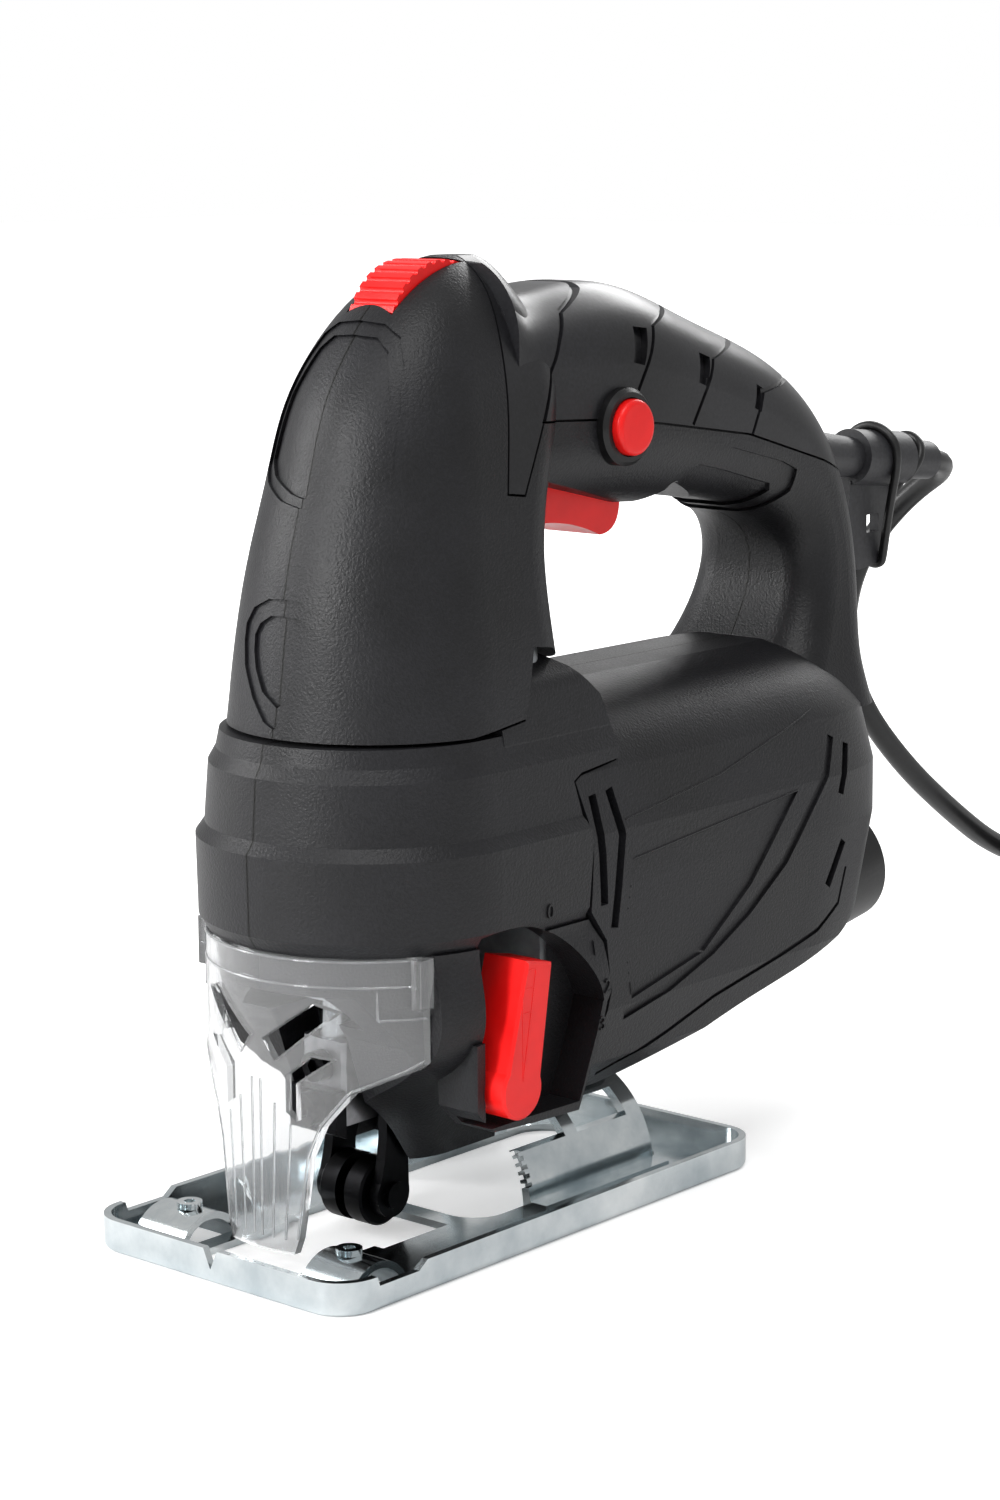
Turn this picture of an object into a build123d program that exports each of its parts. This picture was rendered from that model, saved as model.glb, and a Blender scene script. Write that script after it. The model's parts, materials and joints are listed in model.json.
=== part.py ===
"""Corded jigsaw with a D handle, a tilting stamped shoe and an orbital blade guide.

Frame: millimetres, +X is the cutting direction, +Y the tool's left, +Z up.
The origin is where the blade's axis meets the sole of the shoe.
"""

from math import cos, pi, radians, sin, tan
import os

from build123d import *

# ---- driving dimensions ---------------------------------------------------------------
# housing
wall = 3.0                # moulded wall of the housing shells
seam_gap = 0.05           # air between two moulded pieces that meet at a seam
shadow_gap = 0.8          # wide dark gap between the front cover and the housing
barrel_half_width = 36.0
barrel_top = 112.0
barrel_rear = -160.0      # rearmost point of the housing
cover_bottom = 66.5       # underside of the front cover, on which the guard closes
cover_top = 108.0

# motor and drive
motor_axis_z = 77.0
motor_cavity_radius = 27.5
stator_radius = 25.0
stator_length = 46.0
stator_front = -64.0
stator_rear = stator_front - stator_length
coil_reach = 5.0          # how far the field coils stand out of the stator
armature_radius = 15.0
shaft_radius = 4.0
fan_radius = 24.5
bearing_radius = 11.0
bearing_width = 7.0
shaft_rear = -139.0       # rear end of the armature shaft
bearing_seat = shaft_rear + bearing_width + 1
brush_room_radius = 26.0
gear_module = 0.75
pinion_teeth = 8
gear_teeth = 54
gear_width = 8.0
gear_front = -20.0        # front face of the crank gear
crank_radius = 9.0        # half the blade stroke
crank_pin_radius = 3.0
yoke_clearance = 0.3      # gap left open between the crank pin and the yoke

# blade drive
plunger_radius = 4.5
bush_fit = 0.05
block_width = 11.0        # blade clamp block, along X
block_depth = 12.0        # blade clamp block, along Y
block_height = 18.0
block_bottom = 26.2

# roller guide
roller_radius = 7.25
roller_width = 12.0
roller_x = -6.0
roller_z = 9.4
groove_width = 2.6
groove_depth = 2.6
roller_pin_radius = 2.0
roller_room = 2.75        # air behind the roller in the sole's opening
cheek_thickness = 2.4
cheek_gap = 0.4           # between roller or clamp block and each cheek
fork_pivot_x = -14.0
fork_pivot_z = 45.0
fork_pin_radius = 2.5

# shoe
shoe_length = 136.0
shoe_width = 74.0
shoe_front = 39.0
shoe_sheet = 1.6
front_flange = 7.2
side_flange = 7.0
low_flange = 5.2
shoe_corner = 9.0
arch_width = 14.0
arch_inner_y = 17.0
arch_height = 7.2
arch_front = 31.0
arch_length = 17.0
cradle_radius = 22.5      # outer radius of the tilt cradle, centred on the tilt axis
cradle_sheet = 2.0
cradle_front = -34.0
cradle_length = 42.0
tilt_axis_z = 1.6
tilt_clearance = 0.35
clamp_x = -55.0           # clamping screw of the tilt
clamp_screw_radius = 2.5
clamp_screw_top = 38.0

# guard
guard_radius = 34.0
guard_centre = -9.0
guard_wall = 1.8
guard_foot = 4.1
guard_top = cover_bottom - 0.3
guard_rear = 6.0

# orbit lever
lever_pivot_x = -11.5
lever_pivot_z = 36.5
lever_hub_radius = 6.2
lever_inner_y = 28.5
lever_outer_y = 40.0
lever_reach = 26.5        # pivot to tip
lever_lean = 12.0         # degrees behind vertical in the first position
lever_clearance = 0.4
lever_shaft_radius = 4.0
recess_radius = 33.0
recess_floor_y = 27.8

# handle and controls
button_radius = 6.0
button_x = -66.7
button_z = 166.4
button_face_y = 25.5
bezel_radius = 8.3
bezel_face_y = 23.4
switch_half = 8.0
switch_pin_x = -62.0      # square pin that the trigger pushes
switch_pin = 6.0
button_inner_y = 12.0
bezel_seat_y = 18.5
trigger_top = 158.5
trigger_width = 15.0
trigger_travel = 5.0
dial_radius = 16.5
dial_width = 12.0
dial_shaft_radius = 2.5
dial_x = -27.0
dial_z = 186.0

# dust port and cord
port_radius = 15.5
port_wall = 2.2
port_end = -175.5
port_end_z = 51.5
port_tilt = 9.0
port_length = 46.0
screw_radius = 1.7
screw_seat = 12.0         # distance of the screw heads' seats from the middle plane
screw_points = ((-28, 157), (-60, 42.5), (-150, 125), (-150.5, 86), (-110, 170))
sleeve_radius = 4.8       # strain relief at its slim end
sleeve_base = 6.2         # strain relief where it leaves the housing
sleeve_taper = (12.0, 29.0)   # where its taper starts and ends, along its axis
cord_radius = 3.0
sleeve_start = (-150.0, 0.0, 153.0)
sleeve_end = (-213.0, 0.0, 146.8)
coil_outer = 48.0         # radii of the coiled length
coil_inner = 24.0
coil_height = 24.5


# ---- small helpers --------------------------------------------------------------------
def save(piece, name):
    """Label one finished sub-part and write its STEP file."""
    piece.label = name
    export_step(piece, f"parts/{name}.step")


def side_plane(y):
    """Plane of the side view at the given Y, local x = +X and local y = +Z, facing -Y."""
    return Plane(origin=(0, y, 0), x_dir=(1, 0, 0), z_dir=(0, -1, 0))


def front_plane(x):
    """Plane of the front view at the given X, local x = +Y and local y = +Z, facing +X."""
    return Plane(origin=(x, 0, 0), x_dir=(0, 1, 0), z_dir=(1, 0, 0))


def stadium(z, centre, radius, back, corner):
    """Horizontal section of the nose: round in front, straight sides, rounded back corners."""
    with BuildSketch(Plane.XY.offset(z)) as section:
        with BuildLine():
            ThreePointArc((centre, -radius), (centre + radius, 0), (centre, radius))
            left = Line((centre, radius), (back + corner, radius))
            turn = TangentArc(left @ 1, (back, radius - corner), tangent=(-1, 0))
            rear = Line(turn @ 1, (back, corner - radius))
            last = TangentArc(rear @ 1, (back + corner, -radius), tangent=(0, -1))
            Line(last @ 1, (centre, -radius))
        make_face()
    return section.sketch


def stacked(sections, inset=0.0):
    """Solid through stadium sections (z, centre, radius, back), each drawn in by inset."""
    with BuildPart() as solid:
        for z, centre, radius, back in sections:
            reach = max(radius - inset, 1.5)
            add(stadium(z, centre, reach, back + inset, min(10.0, reach * 0.8)))
        loft()
    return solid.part


def swept_sections(sections, inset=0.0):
    """Solid through rounded sections (x, z, heading, half width, height, corner radius)."""
    with BuildPart() as solid:
        for x, z, heading, half, height, corner in sections:
            angle = radians(heading)
            ahead = Vector(-sin(angle), 0, cos(angle))
            with BuildSketch(Plane(origin=(x, 0, z), x_dir=(0, 1, 0), z_dir=ahead)):
                wide, high = 2 * (half - inset), height - 2 * inset
                RectangleRounded(wide, high, min(corner - inset * 0.5, 0.48 * min(wide, high)))
        loft()
    return solid.part


def cylinder_y(x, z, y_from, y_to, radius):
    """Cylinder along Y."""
    with BuildPart() as rod:
        with BuildSketch(side_plane(y_from)):
            with Locations((x, z)):
                Circle(radius)
        extrude(amount=y_from - y_to)
    return rod.part


def cylinder_x(y, z, x_from, x_to, radius):
    """Cylinder along X."""
    with BuildPart() as rod:
        with BuildSketch(front_plane(x_from)):
            with Locations((y, z)):
                Circle(radius)
        extrude(amount=x_to - x_from)
    return rod.part


os.makedirs("parts", exist_ok=True)

# ---- outer form of the housing --------------------------------------------------------
# z, centre of the round front, radius, rear face
nose_sections = (
    (96, -12.2, 32.2, -42),
    (104, -12.5, 32.0, -41),
    (118, -13.5, 31.0, -40),
    (144, -14.4, 27.3, -40),
    (158, -16.4, 25.2, -44),
    (176, -19.3, 22.0, -50),
    (186, -22.6, 18.5, -50),
    (195.4, -27.5, 13.5, -47),
    (200.7, -31.5, 8.0, -44),
    (203, -35.0, 3.5, -41),
)
# x, z, heading from vertical, half width, height, corner radius
handle_sections = (
    (-34, 176.6, 90, 20.5, 53, 17),
    (-62, 172.4, 100, 21.0, 49, 17),
    (-95, 168.2, 103, 20.5, 43, 16),
    (-122, 161.5, 112, 19.5, 37, 15),
    (-143, 149, 138, 18.5, 28, 12),
    (-151, 132, 172, 18.5, 22, 9),
    (-148, 114, 180, 21, 27, 10),
    (-139, 96, 180, 27, 43, 12),
)


# z, half width, front face, rear face
barrel_sections = (
    (24, 24, -6, -120),
    (34, 33, -2, -142),
    (46, 36, 0, -152),
    (72, 36, 0, -160),
    (84, 35.6, 0, -160.5),
    (97, 33.2, -4, -158),
)
crown_sections = (
    (97, 33.2, -4, -158),
    (103, 29.4, -10, -154),
    (109.5, 20, -24, -146),
    (112, 10, -36, -138),
)


def barrel_section(z, half, front, rear):
    """Horizontal section of the motor barrel: straight sides and a rounded rear."""
    turn = min(half * 1.35, 40)
    with BuildSketch(Plane.XY.offset(z)) as section:
        with BuildLine():
            face = Line((front, -half), (front, half))
            left = Line(face @ 1, (rear + turn, half))
            back = Spline(left @ 1, (rear, 0), (rear + turn, -half),
                          tangents=((-1, 0), (1, 0)))
            Line(back @ 1, face @ 0)
        make_face()
    return section.sketch


def barrel_form(inset=0.0):
    """Motor barrel: flat creased flanks, a rounded crown and a belly rising to the rear."""
    with BuildPart() as barrel:
        for sections, flat in ((barrel_sections, True), (crown_sections, False)):
            for z, half, front, rear in sections:
                add(barrel_section(z, max(half - inset, 2), front - inset, rear + inset))
            loft(ruled=flat)
        with BuildSketch(side_plane(0)):
            with BuildLine():
                belly = Spline((-40, 26 + inset), (-62, 29 + inset), (-92, 37 + inset),
                               (-126, 45 + inset), (-165, 66 + inset))
                Polyline(belly @ 1, (-165, 0), (-40, 0), belly @ 0)
            make_face()
        extrude(amount=60, both=True, mode=Mode.SUBTRACT)
    return barrel.part


# z, centre of the round front, radius, rear face: three bevelled steps over a tapering hull
cover_sections = (
    (16.5, -18.0, 13.0, -60),
    (26, -14.0, 15.0, -60),
    (33, -12.0, 20.0, -60),
    (45, -10.0, 34.5, -60),
    (60, -9.5, 35.8, -60),
    (cover_bottom, -9.5, 35.0, -60),
)
ring_sections = (
    ((cover_bottom, 34.2), (cover_bottom + 3, 36.0), (86.2, 36.3), (88.8, 34.4)),
    ((88.8, 34.4), (101.4, 33.4), (104.2, 31.8)),
    ((104.2, 31.8), (cover_top, 31.0)),
)
cover_centre = -9.8


def ring_form():
    """The front cover's stacked rings, each with a bevel under and over it."""
    with BuildPart() as rings:
        for steps in ring_sections:
            for (z_low, r_low), (z_high, r_high) in zip(steps, steps[1:]):
                for z, radius in ((z_low, r_low), (z_high, r_high)):
                    add(stadium(z, cover_centre, radius, -60, 4))
                loft()
    return rings.part


def cover_region(spread=0.0):
    """Side outline of the front cover; spread widens it by the dark gap round the cover."""
    with BuildPart() as region:
        with BuildSketch(side_plane(0)):
            with BuildLine():
                Polyline((50, cover_top), (-7, cover_top), (-23.5, cover_top + 2), (-27.5, 124),
                         (-33, 123.2), (-41, 119), (-48, 112.5), (-51, 102.5), (-50, 99),
                         (-37.8, 97.6), (-35.2, 96.2), (-38.8, 83.3), (-37.4, 68), (-42.5, 61),
                         (-44, 50), (-41.5, 42), (-35.5, 26), (-33.6, 14), (50, 14), close=True)
            make_face()
            if spread:
                offset(amount=spread, kind=Kind.INTERSECTION)
        extrude(amount=60, both=True)
    return region.part


def tilt_sweep():
    """Room that the shoe, its side flanges and its cradle need as they tilt 45 degrees."""
    reach = shoe_width / 2 + 0.9
    with BuildPart() as room:
        for side in (1, -1):
            for inner, outer, turn in ((0, reach, 47), (reach - 3, reach, 57)):
                with BuildSketch(front_plane(shoe_front - shoe_length - 2)):
                    with Locations((0, tilt_axis_z)):
                        with BuildLine():
                            start = (side * inner, 0)
                            rim = (side * outer, 0)
                            high = (side * outer * cos(radians(turn)), outer * sin(radians(turn)))
                            mid = (side * outer * cos(radians(turn / 2)),
                                   outer * sin(radians(turn / 2)))
                            low = (side * inner * cos(radians(turn)), inner * sin(radians(turn)))
                            Line(start, rim)
                            ThreePointArc(rim, mid, high)
                            if inner:
                                Line(high, low)
                                ThreePointArc(low, (side * inner * cos(radians(turn / 2)),
                                                    inner * sin(radians(turn / 2))), start)
                            else:
                                Line(high, start)
                        make_face()
                extrude(amount=shoe_length + 4)
        with BuildSketch(front_plane(cradle_front - cradle_length - 3)):
            with Locations((0, tilt_axis_z)):
                Circle(cradle_radius + tilt_clearance)
        extrude(amount=cradle_length + 3.6)
    return room.part


# ---- front cover ----------------------------------------------------------------------
lever_boss = ((-2, 47), (-2, 33), (-7, 28), (-19, 27.2), (-34, 26.6), (-41.5, 42), (-44, 50))
gear_axis_z = motor_axis_z + gear_module * (pinion_teeth + gear_teeth) / 2
pocket_half = block_depth / 2 + cheek_gap + cheek_thickness + 1.2
drive_cavity_radius = 28.0
drive_cavity_floor = 50.0
chamber_rear = -36.0
fork_pocket_rear = -23.0
boss_floor = 25.4

with BuildPart() as cover_form:
    add(stacked(cover_sections))
    add(ring_form())
    with BuildSketch(front_plane(-60)):
        with BuildLine():
            hump = Polyline((-31.5, 100), (-31.5, 106), (-29.5, 117), (-22, 124), (22, 124),
                            (29.5, 117), (31.5, 106), (31.5, 100), close=True)
        make_face()
        fillet(vertices().filter_by(lambda v: v.Y > 110), radius=5)
    extrude(amount=44)
    with BuildSketch(side_plane(boss_floor)):
        with BuildLine():
            Polyline(*lever_boss, close=True)
        make_face()
    extrude(amount=boss_floor - barrel_half_width)
    add(cover_region(), mode=Mode.INTERSECT)
    # the lower front stands back inside the guard
    with BuildSketch(Plane.XY.offset(cover_bottom)):
        with BuildLine():
            ThreePointArc((5.6, -50), (60, 0), (5.6, 50))
            Line((5.6, 50), (5.6, -50))
        make_face()
        with Locations((guard_centre, 0)):
            Circle(guard_radius - guard_wall - 0.6, mode=Mode.SUBTRACT)
    extrude(amount=-60, mode=Mode.SUBTRACT)
    # open front: the block, its screws and the fork hang in it
    with BuildSketch(side_plane(0)):
        with BuildLine():
            Polyline((60, 58), (16, 58), (9, 47), (3, 30), (-3, 14), (60, 14), close=True)
        make_face()
    extrude(amount=60, both=True, mode=Mode.SUBTRACT)
    with BuildSketch(side_plane(0)):
        with BuildLine():
            Polyline((60, 56), (fork_pocket_rear, 56), (fork_pocket_rear, 30), (-20, 14),
                     (60, 14), close=True)
        make_face()
    extrude(amount=pocket_half, both=True, mode=Mode.SUBTRACT)
    add(tilt_sweep(), mode=Mode.SUBTRACT)
print("cover", cover_form.part.volume, cover_form.part.is_valid, len(cover_form.part.solids()))


def drive_chamber(inset=0.0):
    """Room for the gear, the yoke and the plunger inside the front cover and the nose."""
    with BuildPart() as chamber:
        for z, radius, centre in ((drive_cavity_floor + inset, drive_cavity_radius, -11.3),
                                  (104, drive_cavity_radius, -11.3), (126, 25.0, -14.3),
                                  (148 - inset, 20.0, -14.3)):
            add(stadium(z, centre, radius - inset, chamber_rear + inset, 4 - inset))
        loft(ruled=True)
    return chamber.part


def motor_chamber():
    """Room for the fan, seat of the stator, room for the brushes and seat of the bearing."""
    with BuildPart() as room:
        for start, end, radius in ((-34, stator_front + 2, motor_cavity_radius),
                                   (stator_front + 2, stator_rear - 2, stator_radius + seam_gap),
                                   (stator_rear - 2, bearing_seat, brush_room_radius),
                                   (bearing_seat, shaft_rear - 1, bearing_radius + seam_gap)):
            add(cylinder_x(0, motor_axis_z, start, end, radius))
    return room.part


def lever_recess():
    """Sector-shaped pocket in the left side in which the orbit lever swings."""
    with BuildPart() as pocket:
        with BuildSketch(side_plane(recess_floor_y)):
            with Locations((lever_pivot_x, lever_pivot_z)):
                Circle(recess_radius)
            with BuildLine():
                Polyline((-4.4, 90), (-60, 90), (-60, 50), (-42.6, 50), (-40, 42), (-34.2, 28.4),
                         (-18, 28.8), (-4.4, 28.8), close=True)
            make_face(mode=Mode.INTERSECT)
            with Locations((lever_pivot_x, lever_pivot_z)):
                Circle(lever_hub_radius + 1.2)
        extrude(amount=-20)
    return pocket.part


chamber = drive_chamber()
motor_room = motor_chamber()
with BuildPart() as cover_shell:
    add(cover_form.part)
    add(chamber, mode=Mode.SUBTRACT)
    add(motor_room, mode=Mode.SUBTRACT)
    add(lever_recess(), mode=Mode.SUBTRACT)
    add(cylinder_y(lever_pivot_x, lever_pivot_z, 11, 40, lever_shaft_radius + 0.05),
        mode=Mode.SUBTRACT)
    add(cylinder_y(fork_pivot_x, fork_pivot_z, -16, 16, fork_pin_radius), mode=Mode.SUBTRACT)
print("cover_shell", cover_shell.part.volume, cover_shell.part.is_valid,
      len(cover_shell.part.solids()))

with BuildPart() as front_cover_left:
    add(cover_shell.part)
    split(bisect_by=Plane.XZ.offset(-seam_gap), keep=Keep.BOTTOM)
with BuildPart() as front_cover_right:
    add(cover_shell.part)
    split(bisect_by=Plane.XZ.offset(seam_gap), keep=Keep.TOP)
save(front_cover_left.part, "front_cover_left")
save(front_cover_right.part, "front_cover_right")

# ---- housing halves -------------------------------------------------------------------
grip_skin = 2.6
handle_inset = 6.4


vent_width = 2.4
vent_slots = (((-40.7, 92.5), (-42.2, 80), (-42.5, 69)), ((-46.3, 93), (-48.9, 82.9), (-45.8, 63.5)),
              ((-129.2, 68.5), (-122.8, 59)), ((-132.2, 90.5), (-128, 79.5)))
port_rise = sin(radians(port_tilt))
port_back = Vector(-cos(radians(port_tilt)), 0, port_rise)
port_plane = Plane(origin=(port_end, 0, port_end_z), x_dir=(0, 1, 0), z_dir=port_back)
sleeve_axis = (Vector(*sleeve_end) - Vector(*sleeve_start)).normalized()
sleeve_length = (Vector(*sleeve_end) - Vector(*sleeve_start)).length
sleeve_plane = Plane(origin=sleeve_start, x_dir=(0, 1, 0), z_dir=sleeve_axis)


def grip_region(spread=0.0):
    """Side outline of the smooth cover over the handle."""
    with BuildPart() as region:
        with BuildSketch(side_plane(0)):
            with BuildLine():
                front = ThreePointArc((-37, 215), (-30.5, 185), (-24.8, 156))
                Polyline(front @ 1, (-29.6, 155.4), (-38, 169.6), (-62.6, 168.4), (-80, 166.4),
                         (-113.7, 161.6), (-143.6, 153.5), (-165, 146), (-165, 215), front @ 0)
            make_face()
            if spread:
                offset(amount=spread, kind=Kind.INTERSECTION)
        extrude(amount=60, both=True)
    return region.part


# underside of the handle: the trigger's housing steps up to the grip behind it
underside = ((-43, 156.8), (-50, 155.2), (-78.7, 148.5), (-86.2, 147.9), (-92.7, 152.4),
             (-99.3, 150.2), (-104.8, 148.3), (-112.7, 145.3), (-112.7, 138), (-43, 138))


def outer_form(inset=0.0):
    """Nose, handle and barrel as one solid, each drawn in by inset."""
    with BuildPart() as form:
        add(stacked(nose_sections, inset))
        add(swept_sections(handle_sections, inset))
        with BuildSketch(side_plane(0)):
            with BuildLine():
                Polyline(*underside, close=True)
            make_face()
        extrude(amount=40, both=True, mode=Mode.SUBTRACT)
        add(barrel_form(inset))
    return form.part


with BuildPart() as housing_form:
    add(outer_form())
print("form", housing_form.part.volume, housing_form.part.is_valid)

# ---- relief of the housing's skin -----------------------------------------------------
fine_depth = 0.7          # grooves and the first step of each panel
deep_depth = 1.5          # pockets and the second step of each panel
groove_line = 1.0
grip_grooves = (((-68, 197.5), (-65.5, 195.8), (-53, 191.1), (-48, 185.2), (-38, 169)),
                ((-96, 192), (-92.5, 190.6), (-80.3, 187.3), (-76, 180), (-71.7, 173)),
                ((-121.5, 184), (-118.3, 182.3), (-101, 179.1), (-97, 172.7), (-91.9, 165)),
                ((-142, 174.5), (-138.8, 172.8), (-119.3, 170.6), (-116, 164.1), (-114, 160)))
grip_pockets = (((-72.5, 187.2), (-77.3, 186.6), (-74.3, 178.9), (-70.5, 179.7)),
                ((-95.5, 180.5), (-99.5, 179.2), (-97, 173), (-93.8, 174.1)),
                ((-116.9, 172.3), (-119.4, 171.1), (-118, 166), (-115.2, 167.1)))
pad_outer = ((-90, 150), (-90, 154.2), (-97.4, 159.6), (-107.5, 158.9), (-127, 154.3),
             (-132.9, 152), (-132.4, 146.9), (-127.2, 142.5), (-119.1, 140), (-112.2, 138),
             (-90, 138))
pad_inner = ((-94, 150), (-94, 154.8), (-97.5, 155.8), (-107.5, 153.8), (-125.9, 149.2),
             (-127.1, 147.4), (-123.6, 144.5), (-119, 142.5), (-112, 140), (-94, 140))
side_panel = ((-52.5, 77.3), (-111.5, 83), (-93.8, 64.6), (-76.5, 52.5), (-51.6, 47), (-49.2, 61))
flank_line = ((-131, 62), (-128, 54), (-119.2, 49.5), (-104.1, 46.2), (-82.1, 41.4),
              (-66.9, 36.3), (-52, 32.2), (-47, 30.3))
flank_channel = ((-126.1, 93), (-122.4, 85.1), (-106.2, 67.9), (-92.8, 58.9), (-79.7, 52.4),
                 (-64.5, 47.2), (-49.5, 43.8))
channel_line = 2.4
column_line = ((-112.5, 147), (-117.7, 141.1), (-119.5, 136.1), (-116.2, 126), (-107.2, 116.6))
# front view, left half: the nose's shield and the drop under it
shield_outer = ((0, 190.8), (6.4, 190.2), (10.6, 187.8), (13.8, 182.2), (16.2, 173.3),
                (17.4, 161.2), (13.8, 158.2), (6.3, 155.3), (0, 154.2))
shield_inner = ((0, 188), (6, 187.6), (9.6, 184.9), (13.6, 175.8), (15.4, 162.6),
                (11.7, 159.6), (3.7, 156.7), (0, 156))
drop_outer = ((0, 136.5), (4.5, 136.2), (9.5, 134), (12.2, 130.5), (12.3, 127), (11.1, 122.1),
              (7.1, 116.1), (3, 111.8), (0, 110.6))
drop_inner = ((0, 133), (4, 132.8), (7.4, 131), (9, 128.6), (8.8, 125.5), (7.6, 121.8),
              (4.8, 117.6), (0, 114.8))


def flank_relief(outlines, lines, inner):
    """Relief of both flanks: closed outlines and lines (points, width) down to inner."""
    with BuildPart() as relief:
        for outline in outlines:
            with BuildSketch(side_plane(0)):
                with BuildLine():
                    Polyline(*outline, close=True)
                make_face()
            extrude(amount=50, both=True)
        for line, width in lines:
            with BuildSketch(side_plane(0)):
                with BuildLine():
                    Polyline(*line)
                trace(line_width=width)
            extrude(amount=50, both=True)
        add(inner, mode=Mode.SUBTRACT)
    return relief.part


def front_relief(outlines, inner):
    """Relief of the nose's front, from the left halves of the outlines down to inner."""
    with BuildPart() as relief:
        for outline in outlines:
            with BuildSketch(front_plane(-22)):
                with BuildLine():
                    Polyline(*outline, close=True)
                make_face()
                mirror(about=Plane.YZ)
            extrude(amount=50)
        add(inner, mode=Mode.SUBTRACT)
    return relief.part


fine_core = outer_form(fine_depth)
deep_core = outer_form(deep_depth)
grip_relief = (flank_relief((), [(line, groove_line) for line in grip_grooves], fine_core),
               flank_relief(grip_pockets, (), deep_core))
housing_relief = (flank_relief((pad_outer, side_panel),
                               ((flank_line, groove_line), (flank_channel, channel_line),
                                (column_line, groove_line)), fine_core),
                  flank_relief((pad_inner,), (), deep_core),
                  front_relief((shield_outer, drop_outer), fine_core),
                  front_relief((shield_inner, drop_inner), deep_core))

with BuildPart() as handle_core:
    add(stacked(nose_sections, inset=grip_skin))
    add(swept_sections(handle_sections, inset=grip_skin))

with BuildPart() as grip_cover:
    add(housing_form.part)
    add(grip_region(), mode=Mode.INTERSECT)
    add(handle_core.part, mode=Mode.SUBTRACT)
    for relief in grip_relief:
        add(relief, mode=Mode.SUBTRACT)
    add(cylinder_y(button_x, button_z, 6, 40, bezel_radius + seam_gap), mode=Mode.SUBTRACT)
    add(cylinder_y(dial_x, dial_z, -dial_width / 2 - 0.3, dial_width / 2 + 0.3,
                   dial_radius + 0.5), mode=Mode.SUBTRACT)
    boss_x, boss_z = screw_points[-1]
    add(cylinder_y(boss_x, boss_z, -60, 0, 2 * screw_radius + 0.3), mode=Mode.SUBTRACT)
    with BuildSketch(sleeve_plane.offset(-6)):
        Circle(sleeve_base + 2.0)
    extrude(amount=14, mode=Mode.SUBTRACT)
    with BuildSketch(sleeve_plane):
        Circle(sleeve_base + seam_gap)
    extrude(amount=30, mode=Mode.SUBTRACT)
print("grip", grip_cover.part.volume, grip_cover.part.is_valid, len(grip_cover.part.solids()))

with BuildPart() as below_grip:
    add(housing_form.part)
    add(grip_region(0.5), mode=Mode.SUBTRACT)

with BuildPart() as under_skin:
    add(handle_core.part)
    add(grip_region(4), mode=Mode.INTERSECT)

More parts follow.
